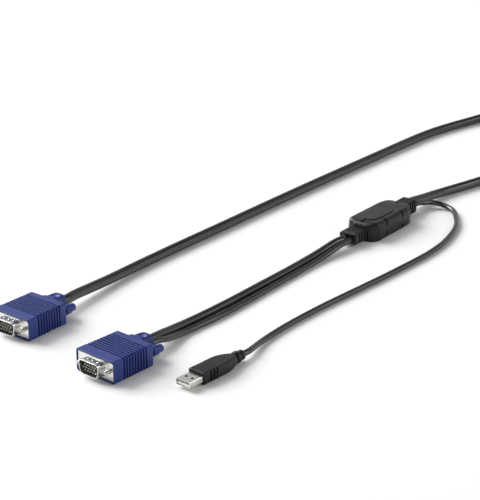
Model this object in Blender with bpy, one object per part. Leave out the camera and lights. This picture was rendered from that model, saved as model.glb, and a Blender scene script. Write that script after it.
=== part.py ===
"""Video and USB console cable, laid out on a desk.

Two blue 15-pin video plugs, a black joint housing, a USB plug and the cords between them.
Units are metres and +Z is up. The desk is at Z = 0. Each plug's own frame has its origin under
the middle of its front face, with +X running back along the plug towards its cord.
"""

import math

import bmesh
import bpy
import numpy as np
from mathutils import Matrix, Vector

GAP = 0.0003
OVERCUT = 0.0015

# Layout on the desk. Places are measured from the video plug's front, then centred on the origin.
DESK_CENTRE = (0.18996, 0.02373)
VIDEO_PLACE = (0.0, 0.0)
VIDEO_TURN = 0.0
CONSOLE_PLACE = (0.0072, 0.0909)
CONSOLE_TURN = math.radians(3.2)
USB_PLACE = (0.0384, -0.0554)
JOINT_PLACE = (0.2930, 0.0186)
JOINT_TURN = math.radians(4.5)

# Moulded hood of a video plug.
HOOD_LENGTH = 0.0380
HOOD_WIDTH = 0.0343
HOOD_FRONT_WIDTH = 0.0356
HOOD_HEIGHT = 0.0163
HOOD_CORNER = 0.0016
HOOD_FRONT_ROUND = 0.0004
HOOD_REAR_ROUND = 0.0009
GROOVE_COUNT = 9
GROOVE_START = 0.0092
GROOVE_PITCH = 0.00264
GROOVE_WIDTH = 0.0014
GROOVE_DEPTH = 0.0008
GROOVE_SLOPE = 0.00025

# Cord boot behind the hood.
BOOT_LENGTH = 0.0120
BOOT_HALF_WIDTH = 0.0066
BOOT_TOP = 0.0160
BOOT_END_TOP = 0.0152
BOOT_CORNER = 0.0030
BOOT_FLARE = 0.0026
BOOT_END_ROUND = 0.0006
DIMPLE_LENGTH = 0.0058
DIMPLE_WIDTH = 0.0090
DIMPLE_DEPTH = 0.0024
DIMPLE_FROM_HOOD = 0.0062

# Nickel front shell: a flange plate with a drawn D-shaped skirt.
FLANGE_WIDTH = 0.0336
FLANGE_HEIGHT = 0.0132
FLANGE_CORNER = 0.0012
FLANGE_THICK = 0.0009
FLANGE_SETBACK = 0.0008
SKIRT_LENGTH = 0.0066
SKIRT_WALL = 0.00055
SKIRT_ROUND = 0.0007
SKIRT_DIMPLES = 3
SKIRT_DIMPLE_PITCH = 0.0044
SKIRT_DIMPLE_RADIUS = 0.0009
SKIRT_DIMPLE_DEPTH = 0.0003
MOUTH_HALF_WIDTH = 0.00920
MOUTH_HALF_HEIGHT = 0.00460
MOUTH_CORNER = 0.0024
MOUTH_SLANT = math.radians(10.0)

# Insulator and its fifteen pins, in three staggered rows of five.
INSULATOR_THICK = 0.0022
PIN_DIAMETER = 0.00076
PIN_HOLE = 0.00136
PIN_HOLE_DEPTH = 0.0013
PIN_REACH = 0.0048
PIN_PITCH = 0.00240
PIN_ROW_SPACING = 0.00208
PIN_ROWS = 3
PINS_IN_ROW = 5

# Jackscrews, one each side of the mouth, each with a moulded thumb knob.
SCREW_SPACING = 0.02499
SCREW_DIAMETER = 0.00284
SCREW_TIP_REACH = 0.0042
SCREW_CLEARANCE = 0.00035
KNOB_LENGTH = 0.0098
KNOB_DIAMETER = 0.0072
KNOB_END_DIAMETER = 0.0058
KNOB_STEP = 0.0056
KNOB_CHAMFER = 0.0006
KNOB_BORE_DEPTH = 0.0050
KNOB_SLOT_WIDTH = 0.0010
KNOB_SLOT_DEPTH = 0.0015
KNOB_RUNNING_GAP = 0.0004
RIGHT_SCREW_DRAWN_BACK = 0.0017

# USB plug.
USB_SHELL_WIDTH = 0.0120
USB_SHELL_HEIGHT = 0.0045
USB_SHELL_REACH = 0.0130
USB_SHELL_WALL = 0.0003
USB_SHELL_CORNER = 0.0006
USB_SHELL_SEAT = 0.0026
USB_WINDOW = 0.0023
USB_WINDOW_SPACING = 0.0052
USB_WINDOW_FROM_FRONT = 0.0062
USB_TONGUE_HEIGHT = 0.00175
USB_TONGUE_SETBACK = 0.0005
USB_TONGUE_CORNER = 0.0003
USB_CONTACTS = 4
USB_CONTACT_PITCH = 0.0022
USB_CONTACT_WIDTH = 0.0011
USB_CONTACT_THICK = 0.00025
USB_CONTACT_LENGTH = 0.0085
USB_CONTACT_SETBACK = 0.0010
USB_GRIP_WIDTH = 0.0145
USB_GRIP_HEIGHT = 0.0088
USB_GRIP_LENGTH = 0.0385
USB_GRIP_STRAIGHT = 0.0215
USB_GRIP_CORNER = 0.0014
USB_GRIP_FRONT_ROUND = 0.0004
USB_GRIP_GROOVES = 3
USB_GRIP_GROOVE_START = 0.0062
USB_GRIP_GROOVE_PITCH = 0.0024
USB_GRIP_GROOVE_WIDTH = 0.0012
USB_GRIP_GROOVE_DEPTH = 0.0005
USB_NECK_WIDTH = 0.0088
USB_NECK_HEIGHT = 0.0079
USB_RELIEF_LENGTH = 0.0070
USB_RELIEF_END = 0.0064
USB_RELIEF_RINGS = 2
USB_RELIEF_GROOVE_DEPTH = 0.0008

# Joint housing: a blunt body that stands on the desk, with a ribbed strain relief at each end.
JOINT_BODY_LENGTH = 0.0613
JOINT_WIDTH = 0.0294
JOINT_HEIGHT = 0.0149
JOINT_EDGE = 0.0026
JOINT_FOOT_EDGE = 0.0012
JOINT_RIGHT_NARROWING = 0.0008
LEFT_FACE_WIDTH = 0.0150
LEFT_FACE_TOP = 0.0108
LEFT_FACE_ROUND = 0.0085
LEFT_FACE_RISE = 0.0055
LEFT_FACE_LEAN = 0.0016
RIGHT_FACE_WIDTH = 0.0118
RIGHT_FACE_TOP = 0.0120
RIGHT_FACE_ROUND = 0.0130
RIGHT_FACE_RISE = 0.0060
RIGHT_FACE_LEAN = 0.0010
FACE_STEPS = 5
LEFT_AXIS_HEIGHT = 0.0065
LEFT_RELIEF_LENGTH = 0.0172
LEFT_RELIEF_WIDTH = 0.0154
LEFT_RELIEF_HEIGHT = 0.0088
LEFT_RELIEF_COLLAR = 0.0050
RIGHT_AXIS_HEIGHT = 0.0075
RIGHT_RELIEF_LENGTH = 0.0140
RIGHT_RELIEF_WIDTH = 0.0136
RIGHT_RELIEF_HEIGHT = 0.0110
RIGHT_RELIEF_COLLAR = 0.0029
RELIEF_GROOVES = 4
RELIEF_GROOVE_WIDTH = 0.0013
RELIEF_GROOVE_DEPTH = 0.0010
RELIEF_EDGE = 0.0014
RELIEF_END_ROUND = 0.0005
PANEL_CENTRE_SHARE = 0.425
PANEL_LENGTH = 0.0350
PANEL_WIDTH = 0.0160
PANEL_HEIGHT = 0.0006
PANEL_ROOT = 0.0010
PANEL_BEVEL = 0.0004
PANEL_STEPS = 28
NOTCH_WIDTH = 0.0010
NOTCH_DEPTH = 0.0013
SIDE_NOTCH_LENGTH = 0.0084
SIDE_NOTCH_LEAN = math.radians(60.0)
SIDE_NOTCH_SHARES = (0.290, 0.670)
END_NOTCH_LENGTH = 0.0062
LEFT_NOTCH_SHARE = 0.085
LEFT_NOTCH_SLOPE = math.radians(-17.0)
RIGHT_NOTCH_SHARE = 0.930
RIGHT_NOTCH_SLOPE = math.radians(9.0)

# Cords.
CONSOLE_CORD = 0.0077
VIDEO_CORD = 0.0064
LINK_CORD = 0.0043
USB_CORD = 0.0043
VIDEO_CORD_OFFSET = 0.0023
LINK_CORD_OFFSET = -0.0034
CONSOLE_CORD_OFFSET = 0.0022
USB_CORD_OFFSET = -0.0042
CORD_LEAD = 0.0060

# Spare length of the console cord, wound into a flat coil of two rings and a tie.
COIL_CENTRE = (0.6480, 0.0600)
COIL_OUTER_TURN = 0.0420
COIL_HEIGHT = 0.0135
TIE_THICK = 0.0010
TIE_SPREAD = math.radians(14.0)
TIE_PLACE = math.radians(150.0)

# Hand-laid routes, in metres from the video plug's front: x, y and height over the desk.
CONSOLE_OUT_ROUTE = (
    (0.0732, 0.0966, 0.0076),
    (0.0910, 0.0994, 0.0064),
    (0.1151, 0.1028, 0.0050),
    (0.1512, 0.1074, 0.0041),
    (0.1880, 0.1106, 0.00385),
    (0.2240, 0.1128, 0.00385),
    (0.2620, 0.1152, 0.00385),
    (0.3030, 0.1180, 0.00385),
    (0.3450, 0.1206, 0.00385),
    (0.3880, 0.1230, 0.00385),
    (0.4330, 0.1252, 0.00385),
    (0.4790, 0.1274, 0.00385),
    (0.5280, 0.1296, 0.00385),
    (0.5530, 0.1299, 0.00385),
    (0.5750, 0.1286, 0.00385),
    (0.5955, 0.1259, 0.00385),
    (0.6160, 0.1226, 0.00385),
    (0.6330, 0.1194, 0.0042),
    (0.6490, 0.1150, 0.0047),
    (0.66187, 0.10804, 0.0050),
)
CONSOLE_RETURN_ROUTE = (
    (0.62052, 0.01931, 0.0100),
    (0.6050, 0.0172, 0.0078),
    (0.5880, 0.0164, 0.0054),
    (0.5700, 0.0158, 0.0042),
    (0.5500, 0.0154, 0.00385),
    (0.5250, 0.0156, 0.00385),
    (0.5020, 0.0172, 0.00385),
    (0.4840, 0.0194, 0.00385),
    (0.4670, 0.0222, 0.00385),
    (0.4500, 0.0252, 0.00390),
    (0.4340, 0.0274, 0.0043),
    (0.4195, 0.0283, 0.0051),
    (0.4070, 0.0284, 0.0060),
)
VIDEO_ROUTE = (
    (0.0680, 0.0042, 0.0070),
    (0.0780, 0.0056, 0.0057),
    (0.0940, 0.0075, 0.0042),
    (0.1110, 0.0088, 0.0034),
    (0.1280, 0.0097, 0.0032),
    (0.1450, 0.0106, 0.0032),
    (0.1630, 0.0120, 0.0032),
    (0.1820, 0.0136, 0.0032),
    (0.2000, 0.0150, 0.0032),
    (0.2190, 0.0166, 0.0032),
    (0.2400, 0.0187, 0.0033),
    (0.2580, 0.0203, 0.0038),
    (0.2700, 0.0209, 0.0049),
    (0.2800, 0.0211, 0.0060),
)
LINK_ROUTE = (
    (0.0660, -0.0030, 0.0060),
    (0.0750, -0.0014, 0.0042),
    (0.0880, 0.0006, 0.0026),
    (0.1030, 0.0010, 0.0022),
    (0.1190, 0.0010, 0.0022),
    (0.1350, 0.0018, 0.0022),
    (0.1540, 0.0036, 0.0022),
    (0.1730, 0.0057, 0.0022),
    (0.1920, 0.0077, 0.0022),
    (0.2120, 0.0097, 0.0022),
    (0.2330, 0.0117, 0.0023),
    (0.2520, 0.0133, 0.0029),
    (0.2650, 0.0141, 0.0042),
    (0.2770, 0.0144, 0.0058),
)
USB_ROUTE = (
    (0.3990, 0.0208, 0.0062),
    (0.4055, 0.0182, 0.0054),
    (0.4100, 0.0128, 0.0040),
    (0.4108, 0.0050, 0.0028),
    (0.4075, -0.0025, 0.0023),
    (0.4004, -0.0095, 0.0022),
    (0.3852, -0.0210, 0.0022),
    (0.3686, -0.0291, 0.0022),
    (0.3514, -0.0350, 0.0022),
    (0.3363, -0.0387, 0.0022),
    (0.3127, -0.0416, 0.0022),
    (0.2820, -0.0427, 0.0022),
    (0.2530, -0.0432, 0.0022),
    (0.2177, -0.0430, 0.0022),
    (0.1833, -0.0430, 0.0022),
    (0.1467, -0.0446, 0.0022),
    (0.1250, -0.0470, 0.0023),
    (0.1120, -0.0493, 0.0027),
    (0.1010, -0.0522, 0.0034),
)

CORNER_STEPS = 3
CORNER_LIMIT = 0.98
MOUTH_CORNER_STEPS = 5
ROUND_STEPS = 20
PIN_SIDES = 8
CORD_SPACING = 2.4


def clear_scene():
    """Remove what the scene already holds."""
    for leftover in list(bpy.data.objects):
        bpy.data.objects.remove(leftover, do_unlink=True)


def make_material(name, colour, roughness, metallic=0.0):
    """A plain surface with a base colour, a roughness and a metallic value."""
    material = bpy.data.materials.new(name)
    material.use_nodes = True
    shader = material.node_tree.nodes["Principled BSDF"]
    shader.inputs["Base Color"].default_value = (*colour, 1.0)
    shader.inputs["Roughness"].default_value = roughness
    shader.inputs["Metallic"].default_value = metallic
    material.diffuse_color = (*colour, 1.0)
    return material


def link_object(name, data, material, parent):
    """Put mesh or curve data in the scene under a parent empty."""
    item = bpy.data.objects.new(name, data)
    bpy.context.scene.collection.objects.link(item)
    if material is not None and not data.materials:
        data.materials.append(material)
    item.parent = parent
    return item


def make_empty(name, location, turn, parent):
    """An empty that carries a sub-assembly."""
    empty = bpy.data.objects.new(name, None)
    bpy.context.scene.collection.objects.link(empty)
    empty.location = location
    empty.rotation_euler = (0.0, 0.0, turn)
    empty.parent = parent
    return empty


def finish_mesh(bm, name):
    """Turn a bmesh into mesh data, facing out, with round parts shaded smooth."""
    bmesh.ops.recalc_face_normals(bm, faces=bm.faces[:])
    data = bpy.data.meshes.new(name)
    bm.to_mesh(data)
    bm.free()
    data.shade_smooth()
    data.set_sharp_from_angle(angle=math.radians(35.0))
    return data


def rounded_section(half_width, bottom, top, corner, steps=CORNER_STEPS, foot=None):
    """Points (y, z) round a rectangle with round corners, from its +y side upwards.

    The lower corners take the foot radius where there is one.
    """
    middle = 0.5 * (bottom + top)
    half_height = 0.5 * (top - bottom)
    largest = CORNER_LIMIT * min(half_width, half_height)
    points = []
    for quarter in range(4):
        upper = quarter in (0, 1)
        side_y = 1.0 if quarter in (0, 3) else -1.0
        side_z = 1.0 if upper else -1.0
        radius = min(corner if upper or foot is None else foot, largest)
        for step in range(steps + 1):
            angle = 0.5 * math.pi * (quarter + step / steps)
            y = side_y * (half_width - radius) + radius * math.cos(angle)
            z = middle + side_z * (half_height - radius) + radius * math.sin(angle)
            points.append((y, z))
    return points


def mouth_section(grow):
    """Points (y, z) of the D-shaped mouth, wide side up, grown outwards by a distance.

    The number of points is a multiple of the four corners, so it joins a rounded rectangle.
    """
    lean = math.tan(MOUTH_SLANT)
    half_height = MOUTH_HALF_HEIGHT + grow
    side = MOUTH_HALF_WIDTH + grow / math.cos(MOUTH_SLANT)
    corner = MOUTH_CORNER + grow
    points = []
    for quarter in range(4):
        side_y = 1.0 if quarter in (0, 3) else -1.0
        upper = quarter in (0, 1)
        centre_z = (half_height - corner) if upper else -(half_height - corner)
        side_at_centre = side - (MOUTH_HALF_HEIGHT - centre_z) * lean
        centre_y = side_y * (side_at_centre - corner / math.cos(MOUTH_SLANT))
        turn = MOUTH_SLANT
        starts = (-turn, 0.5 * math.pi, math.pi + turn, 1.5 * math.pi)
        ends = (0.5 * math.pi, math.pi + turn, 1.5 * math.pi, 2.0 * math.pi - turn)
        for step in range(MOUTH_CORNER_STEPS + 1):
            angle = starts[quarter] + (ends[quarter] - starts[quarter]) * step / MOUTH_CORNER_STEPS
            points.append((centre_y + corner * math.cos(angle), centre_z + corner * math.sin(angle)))
    return points


def bridge_rings(bm, first, second):
    """Join two rings of vertices that have the same count with a band of faces."""
    count = len(first)
    for index in range(count):
        following = (index + 1) % count
        bm.faces.new((first[index], first[following], second[following], second[index]))


def loft(name, stations, closed_loop=False):
    """A solid through stations (x, points), capped at both ends unless they close on themselves."""
    bm = bmesh.new()
    rings = [[bm.verts.new((x, y, z)) for y, z in points] for x, points in stations]
    for first, second in zip(rings, rings[1:]):
        bridge_rings(bm, first, second)
    if closed_loop:
        bridge_rings(bm, rings[-1], rings[0])
    else:
        bm.faces.new(rings[0])
        bm.faces.new(rings[-1])
    return finish_mesh(bm, name)


def turned(name, profile, steps=ROUND_STEPS):
    """A solid of revolution about the X axis from profile points (x, radius)."""
    bm = bmesh.new()
    start = [bm.verts.new((x, radius, 0.0)) for x, radius in profile]
    edges = [bm.edges.new(pair) for pair in zip(start, start[1:])]
    bmesh.ops.spin(
        bm,
        geom=start + edges,
        cent=(0.0, 0.0, 0.0),
        axis=(1.0, 0.0, 0.0),
        angle=2.0 * math.pi,
        steps=steps,
        use_merge=True,
    )
    bmesh.ops.remove_doubles(bm, verts=bm.verts[:], dist=1e-7)
    return finish_mesh(bm, name)


def block(name, low, high):
    """A plain cuboid between two corners."""
    bm = bmesh.new()
    size = [b - a for a, b in zip(low, high)]
    centre = [0.5 * (a + b) for a, b in zip(low, high)]
    bmesh.ops.create_cube(bm, size=1.0, matrix=Matrix.Translation(centre) @ Matrix.Diagonal((*size, 1.0)))
    return finish_mesh(bm, name)


def rod(name, x_low, x_high, diameter, steps=ROUND_STEPS):
    """A plain round bar along X."""
    radius = 0.5 * diameter
    return turned(name, ((x_low, 0.0), (x_low, radius), (x_high, radius), (x_high, 0.0)), steps)


def cut(target, data, parent, location=(0.0, 0.0, 0.0), turn_x=0.0):
    """Cut a shape out of an object with a live Boolean."""
    return combine(target, data, parent, "DIFFERENCE", location, turn_x)


def combine(target, data, parent, operation, location=(0.0, 0.0, 0.0), turn_x=0.0):
    """Add a Boolean modifier whose guide shape stays out of the model."""
    guide = link_object(data.name + "_guide", data, None, parent)
    guide.location = location
    guide.rotation_euler = (turn_x, 0.0, 0.0)
    guide.hide_render = True
    guide.display_type = "WIRE"
    modifier = target.modifiers.new(data.name, "BOOLEAN")
    modifier.operation = operation
    modifier.solver = "EXACT"
    modifier.object = guide
    return guide


def hood_station(x, shrink=0.0):
    """One station (x, points) of the hood, which is a little wider in front, drawn in by a distance."""
    half = 0.5 * (HOOD_FRONT_WIDTH + (HOOD_WIDTH - HOOD_FRONT_WIDTH) * x / HOOD_LENGTH)
    return (x, rounded_section(half - shrink, shrink, HOOD_HEIGHT - shrink, HOOD_CORNER))


def boot_station(x, half_width, top):
    """One station (x, points) of the boot, as far from the desk as from the hood's top."""
    return (x, rounded_section(half_width, HOOD_HEIGHT - top, top, BOOT_CORNER))


def hood_stations():
    """Stations of the ribbed hood and its boot, from the front face to the end of the boot."""
    stations = [hood_station(0.0, HOOD_FRONT_ROUND), hood_station(HOOD_FRONT_ROUND)]
    for index in range(GROOVE_COUNT):
        start = GROOVE_START + index * GROOVE_PITCH
        end = start + GROOVE_WIDTH
        stations += [
            hood_station(start),
            hood_station(start + GROOVE_SLOPE, GROOVE_DEPTH),
            hood_station(end - GROOVE_SLOPE, GROOVE_DEPTH),
            hood_station(end),
        ]
    stations += [hood_station(HOOD_LENGTH - HOOD_REAR_ROUND), hood_station(HOOD_LENGTH, HOOD_REAR_ROUND)]

    flare = BOOT_HALF_WIDTH + BOOT_FLARE
    narrow = BOOT_HALF_WIDTH - BOOT_END_ROUND
    end = HOOD_LENGTH + BOOT_LENGTH
    stations += [
        boot_station(HOOD_LENGTH + 0.05 * BOOT_FLARE, flare, BOOT_TOP),
        boot_station(HOOD_LENGTH + 0.40 * BOOT_FLARE, BOOT_HALF_WIDTH + 0.4 * BOOT_FLARE, BOOT_TOP),
        boot_station(HOOD_LENGTH + BOOT_FLARE, BOOT_HALF_WIDTH, BOOT_TOP),
        boot_station(end - 2.0 * BOOT_END_ROUND, BOOT_HALF_WIDTH, BOOT_END_TOP),
        boot_station(end - 0.4 * BOOT_END_ROUND, BOOT_HALF_WIDTH - 0.3 * BOOT_END_ROUND, BOOT_END_TOP),
        boot_station(end, narrow, BOOT_END_TOP - BOOT_END_ROUND),
    ]
    return stations


def flange_recess(grow):
    """The outline of the flange plate about the plug's axis, grown by a clearance."""
    return rounded_section(
        0.5 * FLANGE_WIDTH + grow,
        0.5 * (HOOD_HEIGHT - FLANGE_HEIGHT) - grow,
        0.5 * (HOOD_HEIGHT + FLANGE_HEIGHT) + grow,
        FLANGE_CORNER + grow,
        MOUTH_CORNER_STEPS,
    )


def lifted(points, height):
    """Section points raised by a height."""
    return [(y, z + height) for y, z in points]


def screw_axes():
    """The two jackscrew axes as (name, y)."""
    return (("left", 0.5 * SCREW_SPACING), ("right", -0.5 * SCREW_SPACING))


def build_hood(prefix, parent, material):
    """Ribbed hood and boot, with the flange recess, the two screw channels and the boot's dimple."""
    axis_height = 0.5 * HOOD_HEIGHT
    hood = link_object(prefix + "_hood", loft(prefix + "_hood", hood_stations()), material, parent)
    floor = FLANGE_SETBACK + FLANGE_THICK + GAP
    recess = loft(prefix + "_recess", [(-OVERCUT, flange_recess(GAP)), (floor, flange_recess(GAP))])
    cut(hood, recess, parent)
    bore = SCREW_DIAMETER + 2.0 * SCREW_CLEARANCE
    for side, y in screw_axes():
        channel = rod(f"{prefix}_channel_{side}", -OVERCUT, HOOD_LENGTH + OVERCUT, bore, 12)
        cut(hood, channel, parent, (0.0, y, axis_height))
    dimple = bmesh.new()
    bmesh.ops.create_uvsphere(dimple, u_segments=16, v_segments=8, radius=1.0)
    scale = Matrix.Diagonal((0.5 * DIMPLE_LENGTH, 0.5 * DIMPLE_WIDTH, DIMPLE_DEPTH, 1.0))
    bmesh.ops.transform(dimple, matrix=scale, verts=dimple.verts[:])
    place = (HOOD_LENGTH + DIMPLE_FROM_HOOD, 0.0, BOOT_TOP)
    cut(hood, finish_mesh(dimple, prefix + "_dimple"), parent, place)


def build_front_shell(prefix, parent, material):
    """Flange plate and D-shaped skirt, drawn from one nickel-plated sheet."""
    axis_height = 0.5 * HOOD_HEIGHT
    front = FLANGE_SETBACK
    back = front + FLANGE_THICK
    skirt_front = front - SKIRT_LENGTH
    inner = lifted(mouth_section(0.0), axis_height)
    outer = lifted(mouth_section(SKIRT_WALL), axis_height)
    rounded = lifted(mouth_section(SKIRT_WALL + 0.3 * SKIRT_ROUND), axis_height)
    foot = lifted(mouth_section(SKIRT_WALL + SKIRT_ROUND), axis_height)
    plate = flange_recess(0.0)
    stations = [
        (back, inner),
        (back, plate),
        (front, plate),
        (front, foot),
        (front - 0.3 * SKIRT_ROUND, rounded),
        (front - SKIRT_ROUND, outer),
        (skirt_front, outer),
        (skirt_front, inner),
    ]
    data = loft(prefix + "_front_shell", stations, True)
    shell = link_object(prefix + "_front_shell", data, material, parent)
    hole = SCREW_DIAMETER + 2.0 * SCREW_CLEARANCE
    for side, y in screw_axes():
        drill = rod(f"{prefix}_flange_hole_{side}", front - OVERCUT, back + OVERCUT, hole, 16)
        cut(shell, drill, parent, (0.0, y, axis_height))
    cut(shell, skirt_dimples(prefix), parent, (front - 0.5 * SKIRT_LENGTH, 0.0, axis_height))


def skirt_dimples(prefix):
    """Small round dimples in a row on the skirt's top and on its underside."""
    bm = bmesh.new()
    outer = MOUTH_HALF_HEIGHT + SKIRT_WALL
    for level in (1.0, -1.0):
        z = level * (outer + SKIRT_DIMPLE_RADIUS - SKIRT_DIMPLE_DEPTH)
        for number in range(SKIRT_DIMPLES):
            y = (number - 0.5 * (SKIRT_DIMPLES - 1)) * SKIRT_DIMPLE_PITCH
            place = Matrix.Translation((0.0, y, z))
            radius = SKIRT_DIMPLE_RADIUS
            bmesh.ops.create_uvsphere(bm, u_segments=10, v_segments=8, radius=radius, matrix=place)
    return finish_mesh(bm, prefix + "_skirt_dimples")


def pin_places():
    """Pin axes as (row, y, z about the plug's axis); the middle row is shifted by a quarter pitch."""
    places = []
    for row in range(PIN_ROWS):
        shift = 0.25 * PIN_PITCH if row % 2 else -0.25 * PIN_PITCH
        z = (0.5 * (PIN_ROWS - 1) - row) * PIN_ROW_SPACING
        for column in range(PINS_IN_ROW):
            y = (0.5 * (PINS_IN_ROW - 1) - column) * PIN_PITCH + shift
            places.append((y, z))
    return places


def build_insulator(prefix, parent, material):
    """Black insulator that fills the mouth, with a blind hole round each pin."""
    axis_height = 0.5 * HOOD_HEIGHT
    back = FLANGE_SETBACK + FLANGE_THICK
    front = back - INSULATOR_THICK
    outline = lifted(mouth_section(-GAP), axis_height)
    data = loft(prefix + "_insulator", [(front, outline), (back, outline)])
    insulator = link_object(prefix + "_insulator", data, material, parent)
    drill = bmesh.new()
    for y, z in pin_places():
        turn = Matrix.Rotation(0.5 * math.pi, 4, "Y")
        place = Matrix.Translation((front, y, axis_height + z)) @ turn
        bmesh.ops.create_cone(
            drill,
            cap_ends=True,
            segments=PIN_SIDES,
            radius1=0.5 * PIN_HOLE,
            radius2=0.5 * PIN_HOLE,
            depth=2.0 * PIN_HOLE_DEPTH,
            matrix=place,
        )
    cut(insulator, finish_mesh(drill, prefix + "_pin_holes"), parent)


def build_pins(prefix, parent, material):
    """Fifteen plated pins with round tips, each standing in its hole."""
    radius = 0.5 * PIN_DIAMETER
    front = FLANGE_SETBACK + FLANGE_THICK - INSULATOR_THICK
    root = front + PIN_HOLE_DEPTH - GAP
    tip = front - PIN_REACH
    profile = (
        (tip, 0.0),
        (tip + 0.15 * radius, 0.55 * radius),
        (tip + 1.0 * radius, radius),
        (root, radius),
        (root, 0.0),
    )
    data = turned(prefix + "_pin", profile, PIN_SIDES)
    for number, (y, z) in enumerate(pin_places(), start=1):
        pin = link_object(f"{prefix}_pin_{number:02d}", data, material, parent)
        pin.location = (0.0, y, 0.5 * HOOD_HEIGHT + z)


def build_screws(prefix, parent, steel, plastic):
    """Jackscrew and thumb knob on each side, both with their origin on the screw's axis."""
    slot_turns = {"left": math.radians(20.0), "right": math.radians(75.0)}
    drawn_back = {"left": 0.0, "right": RIGHT_SCREW_DRAWN_BACK}
    radius = 0.5 * SCREW_DIAMETER
    bore = radius + GAP
    knob_radius = 0.5 * KNOB_DIAMETER
    end_radius = 0.5 * KNOB_END_DIAMETER
    for side, y in screw_axes():
        place = (0.0, y, 0.5 * HOOD_HEIGHT)
        tip = FLANGE_SETBACK - SCREW_TIP_REACH
        knob_front = HOOD_LENGTH + KNOB_RUNNING_GAP + drawn_back[side]
        knob_back = knob_front + KNOB_LENGTH
        bore_end = knob_front + KNOB_BORE_DEPTH
        shaft_profile = (
            (tip, 0.0),
            (tip, 0.72 * radius),
            (tip + 0.35 * radius, radius),
            (bore_end - GAP, radius),
            (bore_end - GAP, 0.0),
        )
        knob_profile = (
            (bore_end, 0.0),
            (bore_end, bore),
            (knob_front, bore),
            (knob_front, knob_radius - KNOB_CHAMFER),
            (knob_front + KNOB_CHAMFER, knob_radius),
            (knob_front + KNOB_STEP, knob_radius),
            (knob_front + KNOB_STEP + 0.5 * KNOB_CHAMFER, end_radius),
            (knob_back - KNOB_CHAMFER, end_radius),
            (knob_back, end_radius - KNOB_CHAMFER),
            (knob_back, 0.0),
        )
        shaft = turned(f"{prefix}_screw_{side}", shaft_profile, 14)
        link_object(f"{prefix}_screw_{side}", shaft, steel, parent).location = place
        knob_data = turned(f"{prefix}_knob_{side}", knob_profile)
        knob = link_object(f"{prefix}_knob_{side}", knob_data, plastic, parent)
        knob.location = place
        slot = block(
            f"{prefix}_slot_{side}",
            (knob_back - KNOB_SLOT_DEPTH, -KNOB_DIAMETER, -0.5 * KNOB_SLOT_WIDTH),
            (knob_back + KNOB_SLOT_DEPTH, KNOB_DIAMETER, 0.5 * KNOB_SLOT_WIDTH),
        )
        cut(knob, slot, parent, place, slot_turns[side])


def build_video_plug(prefix, place, turn, root, finish):
    """One complete 15-pin plug on its own empty."""
    frame = make_empty(prefix + "_frame", (*place, 0.0), turn, root)
    build_hood(prefix, frame, finish["blue"])
    build_front_shell(prefix, frame, finish["nickel"])
    build_insulator(prefix, frame, finish["insulator"])
    build_pins(prefix, frame, finish["contact"])
    build_screws(prefix, frame, finish["steel"], finish["blue"])
    return frame


def usb_grip_section(width, height, corner):
    """A section of the USB grip about its own middle height."""
    middle = 0.5 * USB_GRIP_HEIGHT
    return rounded_section(0.5 * width, middle - 0.5 * height, middle + 0.5 * height, corner)


def usb_grip_stations():
    """Stations of the USB grip: flat sides with grooves, a tapered neck and a ringed strain relief."""
    stations = [
        (
            0.0,
            usb_grip_section(
                USB_GRIP_WIDTH - 2.0 * USB_GRIP_FRONT_ROUND,
                USB_GRIP_HEIGHT - 2.0 * USB_GRIP_FRONT_ROUND,
                USB_GRIP_CORNER,
            ),
        ),
        (USB_GRIP_FRONT_ROUND, usb_grip_section(USB_GRIP_WIDTH, USB_GRIP_HEIGHT, USB_GRIP_CORNER)),
    ]
    grooved_width = USB_GRIP_WIDTH - 2.0 * USB_GRIP_GROOVE_DEPTH
    for index in range(USB_GRIP_GROOVES):
        start = USB_GRIP_GROOVE_START + index * USB_GRIP_GROOVE_PITCH
        end = start + USB_GRIP_GROOVE_WIDTH
        edge = 0.2 * USB_GRIP_GROOVE_WIDTH
        stations += [
            (start, usb_grip_section(USB_GRIP_WIDTH, USB_GRIP_HEIGHT, USB_GRIP_CORNER)),
            (start + edge, usb_grip_section(grooved_width, USB_GRIP_HEIGHT, USB_GRIP_CORNER)),
            (end - edge, usb_grip_section(grooved_width, USB_GRIP_HEIGHT, USB_GRIP_CORNER)),
            (end, usb_grip_section(USB_GRIP_WIDTH, USB_GRIP_HEIGHT, USB_GRIP_CORNER)),
        ]
    taper_steps = 5
    for step in range(taper_steps + 1):
        share = step / taper_steps
        eased = share * share * (3.0 - 2.0 * share)
        width = USB_GRIP_WIDTH + (USB_NECK_WIDTH - USB_GRIP_WIDTH) * eased
        height = USB_GRIP_HEIGHT + (USB_NECK_HEIGHT - USB_GRIP_HEIGHT) * eased
        corner = USB_GRIP_CORNER + (0.45 * USB_NECK_HEIGHT - USB_GRIP_CORNER) * eased
        x = USB_GRIP_STRAIGHT + (USB_GRIP_LENGTH - USB_GRIP_STRAIGHT) * share
        stations.append((x, usb_grip_section(width, height, corner)))
    pitch = USB_RELIEF_LENGTH / USB_RELIEF_RINGS
    for ring in range(USB_RELIEF_RINGS):
        start = USB_GRIP_LENGTH + ring * pitch
        share = (ring + 1) / USB_RELIEF_RINGS
        size = USB_NECK_WIDTH + (USB_RELIEF_END - USB_NECK_WIDTH) * share
        height = min(size, USB_NECK_HEIGHT)
        groove = size - 2.0 * USB_RELIEF_GROOVE_DEPTH
        stations += [
            (start + 0.10 * pitch, usb_grip_section(groove, groove, 0.48 * groove)),
            (start + 0.40 * pitch, usb_grip_section(groove, groove, 0.48 * groove)),
            (start + 0.50 * pitch, usb_grip_section(size, height, 0.48 * height)),
            (start + 0.98 * pitch, usb_grip_section(size, height, 0.48 * height)),
        ]
    return stations


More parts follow.
